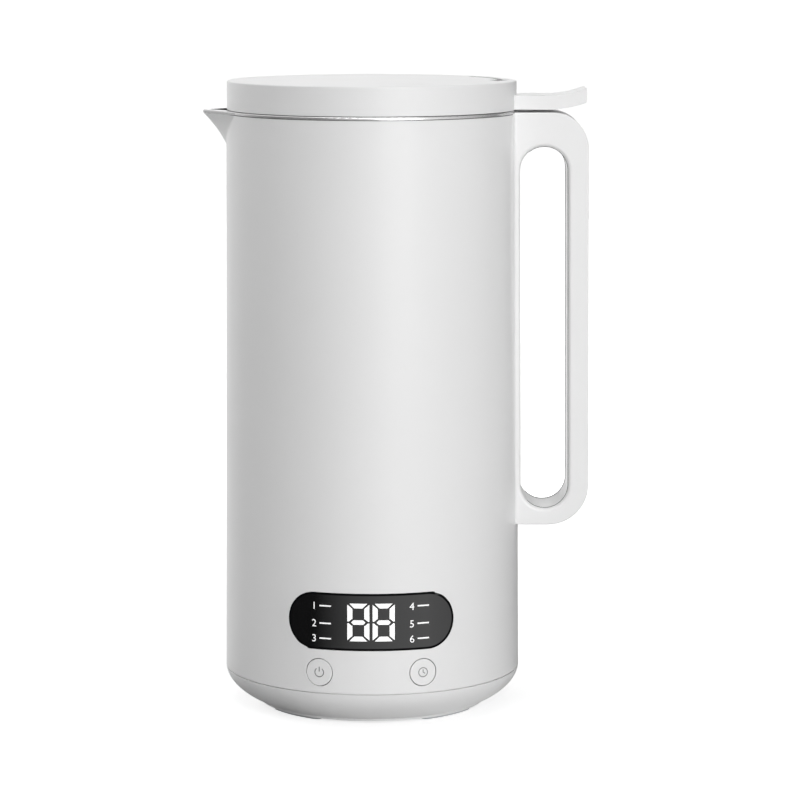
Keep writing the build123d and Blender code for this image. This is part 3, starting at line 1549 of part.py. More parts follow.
# Heating plate under the cup, with the tube element bedded into its underside
plate_bottom = cup_floor_bottom - plate_thickness
element_z = plate_bottom - element_radius * 0.7
element_ends = [polar_point(element_circle, element_start_angle + turn)
                for turn in (0, element_angle)]


with BuildPart() as heating_plate:
    with BuildSketch(Plane.XY.offset(cup_floor_bottom)):
        Circle(plate_outer_radius)
        Circle(plate_inner_radius, mode=Mode.SUBTRACT)
    extrude(amount=-plate_thickness)
    with BuildSketch(Plane.XZ):
        with Locations((element_circle, element_z)):
            Circle(element_radius + fit)
    revolve(axis=Axis.Z, mode=Mode.SUBTRACT)
heating_plate.part.label = "heating_plate"

with BuildPart() as heating_tube:
    with BuildLine(Plane.XY.offset(element_z)) as ring_path:
        CenterArc((0, 0), element_circle, element_start_angle, element_angle)
    with BuildSketch(Plane(origin=ring_path.line @ 0, x_dir=(0, 0, 1), z_dir=ring_path.line % 0)):
        Circle(element_radius)
    sweep()
    with Locations(*[(x, y, element_z) for x, y in element_ends]):
        Sphere(element_radius)
    with BuildSketch(Plane.XY.offset(element_z)):
        with Locations(*element_ends):
            Circle(element_radius)
    extrude(amount=-element_leg)
    with BuildSketch(Plane.XY.offset(element_z - element_leg)):
        with Locations(*element_ends):
            Circle(pin_radius)
    extrude(amount=-pin_length)
heating_tube.part.label = "heating_tube"

# Thermostat and thermal fuse against the heating plate, temperature probe in the cup's floor
thermostat_spot = polar_point(thermostat_circle, thermostat_angle)
with BuildPart() as thermostat:
    with BuildSketch(Plane.XY.offset(plate_bottom)):
        with Locations(thermostat_spot):
            Circle(thermostat_radius)
    extrude(amount=-thermostat_height)
    with BuildSketch(Plane.XY.offset(plate_bottom - thermostat_height)):
        with Locations(Location((*thermostat_spot, 0), (0, 0, thermostat_angle))):
            Rectangle(thermostat_tab_width, 2 * thermostat_tab_reach)
    extrude(amount=thermostat_tab)
thermostat.part.label = "thermostat"

with BuildPart() as thermal_fuse:
    fuse_plane = Plane(origin=(*polar_point(fuse_circle, fuse_angle),
                               plate_bottom - fuse_radius - fit), x_dir=(0, 0, 1),
                       z_dir=(-sin(radians(fuse_angle)), cos(radians(fuse_angle)), 0))
    with BuildSketch(fuse_plane):
        Circle(fuse_radius)
    extrude(amount=fuse_length / 2, both=True)
thermal_fuse.part.label = "thermal_fuse"

probe_spot = polar_point(probe_circle, probe_angle)
with BuildPart() as temperature_probe:
    with BuildSketch(Plane.XY.offset(cup_floor_bottom - probe_drop)):
        with Locations(probe_spot):
            Circle(probe_radius)
    extrude(amount=probe_drop + cup_sheet + probe_rise)
    fillet(temperature_probe.edges().group_by(Axis.Z)[-1], probe_radius / 2)
    with BuildSketch(Plane.XY.offset(cup_floor_bottom - loose)):
        with Locations(probe_spot):
            Circle(probe_flange_radius)
    extrude(amount=-probe_flange)
temperature_probe.part.label = "temperature_probe"

# Power board on its standoffs
power_board_top = power_board_bottom + board_thickness
with BuildPart() as power_board:
    with BuildSketch(Plane.XY.offset(power_board_bottom)):
        Circle(power_board_radius)
        with Locations(*pillar_points):
            Circle(post_radius + running, mode=Mode.SUBTRACT)
        with Locations(*standoff_points):
            Circle(small_screw_radius + fit, mode=Mode.SUBTRACT)
    extrude(amount=board_thickness)
power_board.part.label = "power_board"

# What stands on the power board: relay, transformer, capacitors, choke, fuse, heat sink, plugs
plug_spots = [(i * plug_pitch, plug_y) for i in (-1, 0, 1)]
with BuildPart() as board_parts:
    with BuildSketch(Plane.XY.offset(power_board_top)):
        with Locations((relay_x, relay_y)):
            Rectangle(relay_length, relay_width)
    extrude(amount=relay_height)
    with BuildSketch(Plane.XY.offset(power_board_top)):
        with Locations((transformer_x, transformer_y)):
            Rectangle(transformer_length, transformer_width)
    extrude(amount=transformer_height)
    with BuildSketch(Plane.XY.offset(power_board_top)):
        with Locations((capacitor_x, capacitor_y), (capacitor_x, -capacitor_y)):
            Circle(capacitor_radius)
    extrude(amount=capacitor_height)
    with BuildSketch(Plane.XY.offset(power_board_top)):
        with Locations((choke_x, choke_y)):
            Circle(choke_radius)
            Circle(choke_hole_radius, mode=Mode.SUBTRACT)
    extrude(amount=choke_height)
    with BuildSketch(Plane.XY.offset(power_board_top)):
        with Locations((fuse_block_x, fuse_block_y)):
            Rectangle(fuse_block_length, fuse_block_width)
    extrude(amount=fuse_block_height)
    with BuildSketch(Plane.XY.offset(power_board_top)):
        with Locations((sink_x, 0)):
            Rectangle((sink_fin_count - 1) * sink_pitch + sink_fin, sink_length)
    extrude(amount=sink_foot)
    with BuildSketch(Plane.XY.offset(power_board_top)):
        with Locations((sink_x, 0)):
            with GridLocations(sink_pitch, 0, sink_fin_count, 1):
                Rectangle(sink_fin, sink_length)
    extrude(amount=sink_height)
    with BuildSketch(Plane.XY.offset(power_board_top)):
        with Locations(*plug_spots):
            Rectangle(plug_length, plug_width)
    extrude(amount=plug_height)
board_parts.part.label = "board_parts"

# Small screws of the display board and the power board
board_screw = pan_screw(small_screw_radius, board_thickness + small_bite, small_head_radius,
                        small_head_height)
with BuildPart() as board_screws:
    for side in (-1, 1):
        for level in (-1, 1):
            add(Location((side * board_post_x, board_thickness - display_board_y,
                          window_centre + level * board_post_z), (90, 0, 0)) * board_screw)
    for x, y in standoff_points:
        add(Location((x, y, power_board_top), (180, 0, 0)) * board_screw)
board_screws.part.label = "board_screws"

# Appliance inlet low at the back, with its three pins
pin_spots = [(-inlet_pin_spread, inlet_height - inlet_pin_offset),
             (inlet_pin_spread, inlet_height - inlet_pin_offset),
             (0, inlet_height + inlet_pin_offset)]
with BuildPart() as inlet_socket:
    with BuildSketch(Plane.XZ.offset(-inlet_face_y)):
        with Locations((0, inlet_height)):
            Rectangle(inlet_flange_width, inlet_flange_tall)
    extrude(amount=inlet_flange)
    with BuildSketch(Plane.XZ.offset(-inlet_face_y + inlet_flange)):
        with Locations((0, inlet_height)):
            Rectangle(inlet_width, inlet_tall)
    extrude(amount=inlet_depth - inlet_flange)
    with BuildSketch(Plane.XZ.offset(-inlet_face_y)) as mouth_outline:
        with Locations((0, inlet_height)):
            Rectangle(inlet_mouth_width, inlet_mouth_tall)
        chamfer(mouth_outline.vertices().group_by(Axis.Y)[-1], inlet_corner)
    extrude(amount=inlet_mouth_depth, mode=Mode.SUBTRACT)
    with BuildSketch(Plane.XZ.offset(-inlet_face_y + inlet_mouth_depth)):
        with Locations(*pin_spots):
            Rectangle(inlet_pin_width + 2 * fit, inlet_pin_tall + 2 * fit)
    extrude(amount=inlet_depth - inlet_mouth_depth, mode=Mode.SUBTRACT)
inlet_socket.part.label = "inlet_socket"

pin_front_y = inlet_face_y - inlet_mouth_depth + inlet_pin_reach
pin_back_y = inlet_face_y - inlet_depth - inlet_pin_tail
with BuildPart() as inlet_pins:
    with BuildSketch(Plane.XZ.offset(-pin_front_y)):
        with Locations(*pin_spots):
            Rectangle(inlet_pin_width, inlet_pin_tall)
    extrude(amount=pin_front_y - pin_back_y)
inlet_pins.part.label = "inlet_pins"

# Board with the lid switch, held between the side walls of the handle's top
reed_board_bottom = handle_top - handle_wall - reed_board_drop
reed_board_top = reed_board_bottom + reed_board_thickness
with BuildPart() as reed_board:
    with BuildSketch(Plane.XY.offset(reed_board_bottom)):
        with Locations((reed_board_middle, 0)):
            Rectangle(reed_board_length, handle_depth - 2 * handle_wall - 4 * fit)
    extrude(amount=reed_board_thickness)
    with BuildSketch(Plane.XZ.offset(-reed_length / 2)):
        with Locations((magnet_x, reed_board_top + reed_radius * 0.8)):
            Circle(reed_radius)
    extrude(amount=reed_length)
reed_board.part.label = "reed_board"

# Leads between the boards, the motor, the heater, the probe, the inlet and the handle
first_end, second_end = element_ends
pin_foot = element_z - element_leg - pin_length
over_plate = frame_plate_top + lead_radius + running
board_top = power_board_top + fit
lead_hole_z = (slot_top + handle_top) / 2 - handle_wall
first_riser = polar_point(lead_circle, element_start_angle)
second_riser = polar_point(lead_circle, second_lead_angle)
first_foot = polar_point(power_board_radius - 2 * lead_bend, element_start_angle)
second_foot = polar_point(power_board_radius - 2 * lead_bend, second_lead_angle)
motor_lead_x = holder_end + lead_bend + lead_radius
probe_lead_z = cup_floor_bottom - probe_drop - lead_bend
gap_radius = ledge_radius + lead_radius + loose
with BuildPart() as wiring:
    add(lead(lead_radius, lead_bend, (*first_end, pin_foot), (*first_end, over_plate),
             (*first_riser, over_plate), (*first_riser, lead_level), (*first_foot, lead_level),
             (*first_foot, board_top)))
    add(lead(lead_radius, lead_bend, (*second_end, pin_foot), (*second_end, over_plate),
             (*second_riser, over_plate), (*second_riser, lead_level),
             (*second_foot, lead_level), (*second_foot, board_top)))
    for side in (-1, 1):
        add(lead(lead_radius, lead_bend, (side * holder_end, 0, brush_height_middle),
                 (side * motor_lead_x, 0, brush_height_middle),
                 (side * motor_lead_x, 0, board_top)))
    add(lead(lead_radius, lead_bend * 0.9, (probe_spot[0], 0, probe_lead_z + lead_bend),
             (probe_spot[0], 0, probe_lead_z), (-lead_circle, 0, probe_lead_z),
             (-lead_circle, 0, lead_level), (lead_bend - power_board_radius, 0, lead_level),
             (lead_bend - power_board_radius, 0, board_top)))
    add(lead(lead_radius, lead_tight_bend, (magnet_x, 0, reed_board_bottom),
             (magnet_x, 0, lead_hole_z), (gap_radius, 0, lead_hole_z),
             (gap_radius, 0, lead_level), (motor_lead_x + 2 * lead_bend, 0, lead_level),
             (motor_lead_x + 2 * lead_bend, 0, board_top)))
wiring.part.label = "wiring"

os.makedirs("parts", exist_ok=True)
export_step(outer_shell.part, "parts/outer_shell.step")
export_step(handle_liner.part, "parts/handle_liner.step")
export_step(base_cover.part, "parts/base_cover.step")
export_step(foot_pads.part, "parts/foot_pads.step")
export_step(base_screws.part, "parts/base_screws.step")
export_step(inner_cup.part, "parts/inner_cup.step")
export_step(lid_cover.part, "parts/lid_cover.step")
export_step(lid_plug.part, "parts/lid_plug.step")
export_step(lid_seal.part, "parts/lid_seal.step")
export_step(lid_lever.part, "parts/lid_lever.step")
export_step(lid_magnet.part, "parts/lid_magnet.step")
export_step(lid_screws.part, "parts/lid_screws.step")
export_step(display_window.part, "parts/display_window.step")
export_step(digit_segments.part, "parts/digit_segments.step")
export_step(digit_module.part, "parts/digit_module.step")
export_step(light_baffles.part, "parts/light_baffles.step")
export_step(display_board.part, "parts/display_board.step")
export_step(tact_switches.part, "parts/tact_switches.step")
export_step(key_boards.part, "parts/key_boards.step")
export_step(on_off_button.part, "parts/on_off_button.step")
export_step(timer_button.part, "parts/timer_button.step")
export_step(on_off_plunger.part, "parts/on_off_plunger.step")
export_step(timer_plunger.part, "parts/timer_plunger.step")
export_step(support_frame.part, "parts/support_frame.step")
export_step(frame_screws.part, "parts/frame_screws.step")
export_step(motor_dampers.part, "parts/motor_dampers.step")
export_step(motor_screws.part, "parts/motor_screws.step")
export_step(upper_bracket.part, "parts/upper_bracket.step")
export_step(lower_bracket.part, "parts/lower_bracket.step")
export_step(upper_bearing.part, "parts/upper_bearing.step")
export_step(lower_bearing.part, "parts/lower_bearing.step")
export_step(stator_core.part, "parts/stator_core.step")
export_step(field_coils.part, "parts/field_coils.step")
export_step(brush_holders.part, "parts/brush_holders.step")
export_step(carbon_brushes.part, "parts/carbon_brushes.step")
export_step(brush_springs.part, "parts/brush_springs.step")
export_step(motor_bolts.part, "parts/motor_bolts.step")
export_step(motor_shaft.part, "parts/motor_shaft.step")
export_step(armature_core.part, "parts/armature_core.step")
export_step(armature_windings.part, "parts/armature_windings.step")
export_step(commutator.part, "parts/commutator.step")
export_step(cooling_fan.part, "parts/cooling_fan.step")
export_step(blade.part, "parts/blade.step")
export_step(blade_washers.part, "parts/blade_washers.step")
export_step(blade_nut.part, "parts/blade_nut.step")
export_step(seal_housing.part, "parts/seal_housing.step")
export_step(seal_nut.part, "parts/seal_nut.step")
export_step(shaft_seal.part, "parts/shaft_seal.step")
export_step(heating_plate.part, "parts/heating_plate.step")
export_step(heating_tube.part, "parts/heating_tube.step")
export_step(thermostat.part, "parts/thermostat.step")
export_step(thermal_fuse.part, "parts/thermal_fuse.step")
export_step(temperature_probe.part, "parts/temperature_probe.step")
export_step(power_board.part, "parts/power_board.step")
export_step(board_parts.part, "parts/board_parts.step")
export_step(board_screws.part, "parts/board_screws.step")
export_step(inlet_socket.part, "parts/inlet_socket.step")
export_step(inlet_pins.part, "parts/inlet_pins.step")
export_step(reed_board.part, "parts/reed_board.step")
export_step(wiring.part, "parts/wiring.step")
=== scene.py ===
"""Soy milk maker: finishes, printed marks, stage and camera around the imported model."""
import json
import math

import bmesh
import bpy
from bpy.props import FloatProperty, FloatVectorProperty, PointerProperty
from bpy.types import Operator, Panel, PropertyGroup
from mathutils import Matrix, Vector
from mathutils.bvhtree import BVHTree


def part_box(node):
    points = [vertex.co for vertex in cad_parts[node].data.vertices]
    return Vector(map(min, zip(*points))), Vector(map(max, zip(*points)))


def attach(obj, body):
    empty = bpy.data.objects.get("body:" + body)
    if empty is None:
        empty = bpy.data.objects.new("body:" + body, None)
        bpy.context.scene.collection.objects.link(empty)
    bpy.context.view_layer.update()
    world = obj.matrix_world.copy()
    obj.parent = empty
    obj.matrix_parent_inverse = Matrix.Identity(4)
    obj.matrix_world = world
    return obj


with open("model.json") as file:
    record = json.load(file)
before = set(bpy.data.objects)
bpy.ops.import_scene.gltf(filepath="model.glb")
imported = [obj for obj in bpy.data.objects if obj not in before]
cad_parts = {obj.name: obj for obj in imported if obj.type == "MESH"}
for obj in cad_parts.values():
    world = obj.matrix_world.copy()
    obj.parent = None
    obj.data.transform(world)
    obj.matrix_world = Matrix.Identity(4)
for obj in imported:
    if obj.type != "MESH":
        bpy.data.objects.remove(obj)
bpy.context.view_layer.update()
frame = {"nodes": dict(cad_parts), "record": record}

bl_info = {
    "name": "Soy Milk Maker",
    "version": (1, 0, 0),
    "blender": (4, 5, 0),
    "location": "View3D > Sidebar > Soy Maker",
    "description": "Finishes, marks and studio stage of a countertop soy milk maker",
    "category": "Object",
}

MM = 0.001

# Where the marks stand: angles round the jug from its front, towards the handle
KEY_ANGLE = math.radians(20)
KEY_HEIGHT = 22.2 * MM
MODE_ROWS = (47.9 * MM, 41.2 * MM, 35.4 * MM)
LEFT_MODES_ANGLE = math.radians(-18.3)
RIGHT_MODES_ANGLE = math.radians(19.4)
JACKET_RADIUS = 57.3 * MM
LID_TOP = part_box("lid_cover")[1].z

# The window and its digits, as the model has them
WINDOW_NODES = ["display_window", "digit_segments"]
WINDOW_CENTRE = 42 * MM
WINDOW_HEIGHT = 22 * MM
WINDOW_HALF_ANGLE = math.radians(33)
DIGIT_WIDTH = 8.3 * MM
DIGIT_HEIGHT = 15.4 * MM
DIGIT_STROKE = 2.3 * MM
DIGIT_STARTS = (-8.925 * MM, 0.625 * MM)

# The black print on the window: the line round its edge, and the mask that trims the digits' bars
INK = 0.03 * MM
BORDER_WIDTH = 0.75 * MM
BORDER_INSET = 0.12 * MM
MASK_END = 0.5 * MM
MASK_SIDE = 0.4 * MM
MASK_GAP = 0.6 * MM
MASK_OVERRUN = 0.1 * MM
MASK_SHIFT = 0.02 * MM

# The turning arrow on the lid: the ends of its arc, in degrees from the handle, and the corners of its head
ARROW_START, ARROW_END = 1, 39
ARROW_HEAD = ((45.0, 0.6), (48.2, -9.8), (53.4, 1.4), (49.4, 2.2))

# The finger slot's wall, where the liner meets the jacket's strap and a dark bead paints the shade of the shut
# line: the centres of its two round ends, and how many degrees the painted shade line goes on round each
SLOT_LOW = (67.05 * MM, 86.9 * MM)
SLOT_HIGH = (66.1 * MM, 209.2 * MM)
SLOT_LOW_TURN, SLOT_HIGH_TURN = 138, 130
SLOT_TURN_STEPS, SLOT_SIDE_STEPS = 30, 24
SLOT_SIDE = 10.7 * MM
SLOT_MARGIN = 1 * MM
SHADE_LINE_RADIUS = 0.17 * MM

# The dark bead that paints the shadow under the cup's rolled rim, round the jacket and the spout from one side
# of the handle to the
# other: its height, how far lower its wall is measured, how deep it sinks in, and its turn in degrees
RIM_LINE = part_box("outer_shell")[1].z - 0.55 * MM
RIM_DROP = 0.3 * MM
RIM_SINK = 0.04 * MM
RIM_START, RIM_END, RIM_STEPS = 106, 434, 320

# How far outside a surface the rays that find it start, and how a mesh of thin marks is made
RAY_START = 20 * MM
BEAD_SIDES = 8
BAR_STEPS = 6
BORDER_STEPS = 24
WELD = 0.0005 * MM
LETTER_SIZE = 1.37

# The cross recesses of the base screws, drawn as dark crosses of painted shade: screws stand further apart than
# one head's width
HEAD_WIDTH = 6 * MM
RECESS_ARM = 1.5 * MM
RECESS_WIDTH = 0.75 * MM
RECESS_PROUD = 0.02 * MM
RECESS_DEPTH = 0.3 * MM

# How far shading rounds an edge, and how much more in the hollow where the spout grows out of the jacket
EDGE_SOFTNESS = 0.18 * MM
EDGE_SAMPLES = 6
HOLLOW_SOFTNESS = 3.2 * MM
FADE = 3 * MM
SPOUT_HOLLOW = ((-0.064, -0.034, 0.196), (-0.044, 0.034, 0.2265))

# The floor, and how its glow for the camera grows to white between two distances from the jug
FLOOR_RADIUS = 14
FLOOR_SIDES = 96
FLOOR_DROP = 0.05 * MM
GLOW = (0.74, 1.0)
GLOW_REACH = (0.1, 0.45)
LAMP_AIM = (0, 0, 0.12)
SENSOR_WIDTH = 36
CLIP_START = 0.01

# Brightness that glossy rays meet on the floor round the studio, in degrees from the front towards the handle
STUDIO_RING = (
    (-180, 2.4),
    (-168, 1.3),
    (-150, 1.0),
    (-125, 0.8),
    (-100, 0.25),
    (-78, 0.05),
    (-40, 0.05),
    (-14, 0.85),
    (12, 1.3),
    (38, 1.5),
    (58, 1.15),
    (95, 0.5),
    (125, 0.1),
    (160, 0.05),
    (170, 0.1),
    (180, 2.4),
)

# The same for glossy rays that go above the floor
STUDIO_SKY = (
    (-180, 1.5),
    (-165, 1.1),
    (-150, 1.0),
    (95, 1.0),
    (118, 0.3),
    (164, 0.3),
    (180, 1.5),
)


def slot_colour(slot):
    """The colour that the record gives a material slot."""
    for material in frame["record"]["materials"]:
        if material["slot"] == slot:
            return tuple(material["base_color"])
    raise ValueError(f"the record has no slot {slot}")


def nodes_of(slot):
    """The names of the CAD nodes that take their finish from a slot."""
    return [s["node"] for s in frame["record"]["subparts"] if s["material_slot"] == slot]


# ---------------------------------------------------------------- settings


def colour(name, shade, about):
    return FloatVectorProperty(
        name=name, description=about, subtype="COLOR", size=3, min=0, max=1, default=shade
    )


def length(name, size, about):
    return FloatProperty(name=name, description=about, unit="LENGTH", min=0, precision=5, default=size)


def wattage(name, watts, about):
    return FloatProperty(name=name, description=about, unit="POWER", min=0, default=watts)


class SOYMAKER_PG_finish(PropertyGroup):
    """Colours and surfaces that a user would change."""

    jacket_white: colour("Jacket white", (0.86, 0.86, 0.86), "Jacket, handle, lid and base")
    liner_white: colour("Liner white", (0.8, 0.8, 0.8), "Inner wall of the handle")
    key_white: colour("Key white", (0.87, 0.87, 0.87), "The two round keys")
    steel_grey: colour("Steel grey", (0.58, 0.58, 0.58), "Drawn steel of the cup and its rolled rim")
    window_black: colour("Window black", (0.004, 0.004, 0.0044), "Glossy display window")
    digit_white: colour("Digit white", (0.9, 0.9, 0.9), "Lit digits and mode marks")
    gloss: FloatProperty(
        name="Jacket roughness",
        description="Roughness of the white mouldings",
        subtype="FACTOR",
        min=0,
        max=1,
        default=0.4,
    )
    print_grey: colour("Print grey", (0.16, 0.16, 0.16), "Ink of the key symbols and of the arrow on the lid")


class SOYMAKER_PG_marks(PropertyGroup):
    """Sizes of the printed marks."""

    numeral_height: length("Numeral height", 2.9 * MM, "Height of the mode numbers")
    bar_length: length("Bar length", 4.6 * MM, "Length of the light bar beside a mode number")
    bar_width: length("Bar width", 0.55 * MM, "Width of the light bar")
    symbol_radius: length("Symbol radius", 1.75 * MM, "Radius of the key symbols")
    line_width: length("Line width", 0.36 * MM, "Stroke of the key symbols")
    arrow_radius: length("Arrow radius", 49.5 * MM, "Radius of the turning arrow on the lid")
    arrow_width: length("Arrow width", 2.2 * MM, "Stroke of the turning arrow")
    ink_height: length("Ink height", 0.03 * MM, "How far the print stands off its surface")
    arrow_ink_height: length("Arrow ink height", 0.004 * MM, "How far the arrow's print stands off the lid")


class SOYMAKER_PG_stage(PropertyGroup):
    """Studio light, floor and camera."""

    floor_white: colour("Floor white", (0.48, 0.48, 0.48), "Colour of the floor")
    key_power: wattage("Key power", 97, "Soft lamp at the front right")
    top_power: wattage("Top power", 12, "Soft lamp overhead")
    rim_power: wattage("Rim power", 35, "Soft lamp behind at the left")
    back_power: wattage("Back power", 6, "Soft lamp behind at the right")
    side_level: FloatProperty(name="Side level", description="Dim light from all sides", min=0, default=0.02)
    camera_place: FloatVectorProperty(
        name="Camera place",
        description="Where the camera stands",
        subtype="TRANSLATION",
        unit="LENGTH",
        default=(0.0109122, -1.2677821, 0.3003648),
    )
    camera_pitch: FloatProperty(
        name="Camera pitch",
        description="How far the camera looks down",
        subtype="ANGLE",
        default=math.radians(8.166),
    )
    camera_lens: FloatProperty(name="Camera lens", description="Focal length", unit="CAMERA", default=147.667)


# ---------------------------------------------------------------- materials


class Graph:
    """A node tree, emptied, with short ways to add to it."""

    def __init__(self, tree, coordinates):
        self.tree = tree
        self.tree.nodes.clear()
        self.coordinates = self.node("ShaderNodeTexCoord").outputs[coordinates]

    def node(self, kind, **settings):
        made = self.tree.nodes.new(kind)
        for key, value in settings.items():
            setattr(made, key, value)
        return made

    def link(self, start, end):
        self.tree.links.new(start, end)

    def math(self, operation, first, second=None):
        made = self.node("ShaderNodeMath", operation=operation)
        for socket, value in zip(made.inputs, (first, second)):
            if value is None:
                continue
            if isinstance(value, (int, float)):
                socket.default_value = value
            else:
                self.link(value, socket)
        return made.outputs[0]

    def ring(self, levels):
        """Brightness by the angle round the studio, from the front towards the handle."""
        split = self.node("ShaderNodeSeparateXYZ")
        self.link(self.coordinates, split.inputs[0])
        x, y, _ = split.outputs
        turn = self.math("ARCTAN2", x, self.math("MULTIPLY", y, -1))
        ramp = self.node("ShaderNodeValToRGB")
        elements = ramp.color_ramp.elements
        while len(elements) < len(levels):
            elements.new(0.5)
        for element, (angle, level) in zip(elements, levels):
            element.position = angle / 360 + 0.5
            element.color = (level, level, level, 1)
        self.link(self.math("ADD", self.math("DIVIDE", turn, 2 * math.pi), 0.5), ramp.inputs["Fac"])
        return ramp.outputs["Color"]


class Finish(Graph):
    """The node graph of one material, built round a Principled shader."""

    def __init__(self, name, base, roughness, metallic=0.0, **constants):
        self.material = bpy.data.materials.new(name)
        self.material.use_nodes = True
        super().__init__(self.material.node_tree, "Object")
        output = self.node("ShaderNodeOutputMaterial")
        self.shader = self.node("ShaderNodeBsdfPrincipled")
        self.link(self.shader.outputs["BSDF"], output.inputs["Surface"])
        self.base = tuple(base)[:3]
        self.roughness = roughness
        self.shader.inputs["Base Color"].default_value = (*self.base, 1)
        self.shader.inputs["Roughness"].default_value = roughness
        self.shader.inputs["Metallic"].default_value = metallic
        for socket, value in constants.items():
            self.shader.inputs[socket.replace("_", " ")].default_value = value
        self.material.diffuse_color = (*self.base, 1)

    def round_the_axis(self, along):
        """Coordinates of radius, height and a slow turn, so that streaks run round the jug's axis."""
        split = self.node("ShaderNodeSeparateXYZ")
        self.link(self.coordinates, split.inputs[0])
        x, y, z = split.outputs
        squares = self.math("ADD", self.math("MULTIPLY", x, x), self.math("MULTIPLY", y, y))
        radius = self.math("SQRT", squares)
        turn = self.math("MULTIPLY", self.math("ARCTAN2", y, x), along)
        joined = self.node("ShaderNodeCombineXYZ")
        for value, socket in zip((radius, turn, z), joined.inputs):
            self.link(value, socket)
        return joined.outputs[0]

    def noise(self, scale, detail=2.0, vector=None):
        made = self.node("ShaderNodeTexNoise")
        made.inputs["Scale"].default_value = scale
        made.inputs["Detail"].default_value = detail
        self.link(vector or self.coordinates, made.inputs["Vector"])
        return made.outputs["Fac"]

    def cells(self, scale):
        made = self.node("ShaderNodeTexVoronoi")
        made.inputs["Scale"].default_value = scale
        self.link(self.coordinates, made.inputs["Vector"])
        return made.outputs["Distance"]

    def bands(self, scale, direction, vector=None, distortion=0.0):
        made = self.node("ShaderNodeTexWave", bands_direction=direction)
        made.inputs["Scale"].default_value = scale
        made.inputs["Distortion"].default_value = distortion
        self.link(vector or self.coordinates, made.inputs["Vector"])
        return made.outputs["Fac"]

    def spread(self, value, low, high, start=0.3, end=0.7):
        made = self.node("ShaderNodeMapRange")
        for socket, number in zip(("From Min", "From Max", "To Min", "To Max"), (start, end, low, high)):
            made.inputs[socket].default_value = number
        self.link(value, made.inputs["Value"])
        return made.outputs["Result"]

    def shade(self, value, share, start=0.35, end=0.65):
        """Lets the base colour drift to a darker or paler one."""
        ramp = self.node("ShaderNodeValToRGB")
        first, last = ramp.color_ramp.elements
        first.position = start
        last.position = end
        first.color = (*self.base, 1)
        last.color = (*[min(1, c * share) for c in self.base], 1)
        self.link(value, ramp.inputs["Fac"])
        self.link(ramp.outputs["Color"], self.shader.inputs["Base Color"])

    def polish(self, value, swing):
        """Lets the roughness drift by a swing to each side."""
        drift = self.spread(value, self.roughness - swing, self.roughness + swing)
        self.link(drift, self.shader.inputs["Roughness"])

    def between(self, low, high):
        """One where each coordinate lies between two corners, fading to nothing just outside."""
        split = self.node("ShaderNodeSeparateXYZ")
        self.link(self.coordinates, split.inputs[0])
        inside = 1
        for value, start, end in zip(split.outputs, low, high):
            for face, sign in ((start, 1), (end, -1)):
                step = self.spread(value, 0, 1, face - sign * FADE, face)
                inside = self.math("MULTIPLY", inside, step)
        return inside

    def relief(self, value, depth, edge=0.0):
        """Bump of a real depth in metres, over edges softened by a radius; gives back the material."""
        bump = self.node("ShaderNodeBump")
        bump.inputs["Strength"].default_value = 1
        bump.inputs["Distance"].default_value = depth
        self.link(value, bump.inputs["Height"])
        if edge:
            bevel = self.node("ShaderNodeBevel", samples=EDGE_SAMPLES)
            if isinstance(edge, float):
                bevel.inputs["Radius"].default_value = edge
            else:
                self.link(edge, bevel.inputs["Radius"])
            self.link(bevel.outputs["Normal"], bump.inputs["Normal"])
        self.link(bump.outputs["Normal"], self.shader.inputs["Normal"])
        return self.material


def moulded_white(name, base, roughness, hollow=None):
    """Satin white moulding: faint flow shades, a fine orange peel and soft edges, softer inside a hollow."""
    made = Finish(name, base, roughness, IOR=1.45)
    made.shade(made.noise(14, 3), 0.985)
    made.polish(made.noise(60, 4), 0.03)
    edge = EDGE_SOFTNESS
    if hollow:
        edge = made.math("ADD", edge, made.math("MULTIPLY", made.between(*hollow), HOLLOW_SOFTNESS))
    return made.relief(made.noise(1400, 2), 0.004 * MM, edge)


def dark_moulding(name, base, roughness):
    """Spark-eroded plastic or rubber, with a fine pebbled grain."""
    made = Finish(name, base, roughness)
    made.shade(made.noise(40, 3), 1.35)
    made.polish(made.noise(150, 3), 0.08)
    return made.relief(made.cells(2200), 0.012 * MM)


def spun_metal(name, base, roughness):
    """Metal with fine lines that run round the jug's axis."""
    made = Finish(name, base, roughness, 1.0)
    streaks = made.noise(5200, 2, made.round_the_axis(0.0004))
    made.shade(made.noise(9, 3), 0.95)
    made.polish(streaks, 0.06)
    return made.relief(streaks, 0.0006 * MM)


def cast_metal(name, base, roughness):
    """Cast or plated metal with a mottled skin."""
    made = Finish(name, base, roughness, 1.0)
    made.shade(made.noise(120, 4), 0.82)
    made.polish(made.noise(300, 3), 0.1)
    return made.relief(made.noise(700, 3), 0.02 * MM)


def paint(nodes, material):
    """Gives CAD nodes a material."""
    for name in nodes:
        piece = frame["nodes"][name]
        if not piece.material_slots:
            piece.data.materials.append(material)
        for holder in piece.material_slots:
            holder.material = material


# ---------------------------------------------------------------- marks


def surface_of(*nodes):
    """A search tree of the surface of one or more CAD nodes."""
    points, faces = [], []
    for node in nodes:
        mesh = frame["nodes"][node].data
        faces += [[len(points) + i for i in face.vertices] for face in mesh.polygons]
        points += [vertex.co for vertex in mesh.vertices]
    return BVHTree.FromPolygons(points, faces)


def wall_place(nodes, angle, height):
    """Maps flat marks onto a wall round the jug's axis: across, up and off the surface."""
    surface = surface_of(*nodes)

    def place(point):
        turned = angle + point.x / JACKET_RADIUS
        outward = Vector((math.sin(turned), -math.cos(turned), 0))
        start = outward * (JACKET_RADIUS + RAY_START) + Vector((0, 0, height + point.y))
        hit = surface.ray_cast(start, -outward)[0]
        if hit is None:
            raise RuntimeError(f"a mark misses {nodes}")
        return hit + outward * point.z

    return place


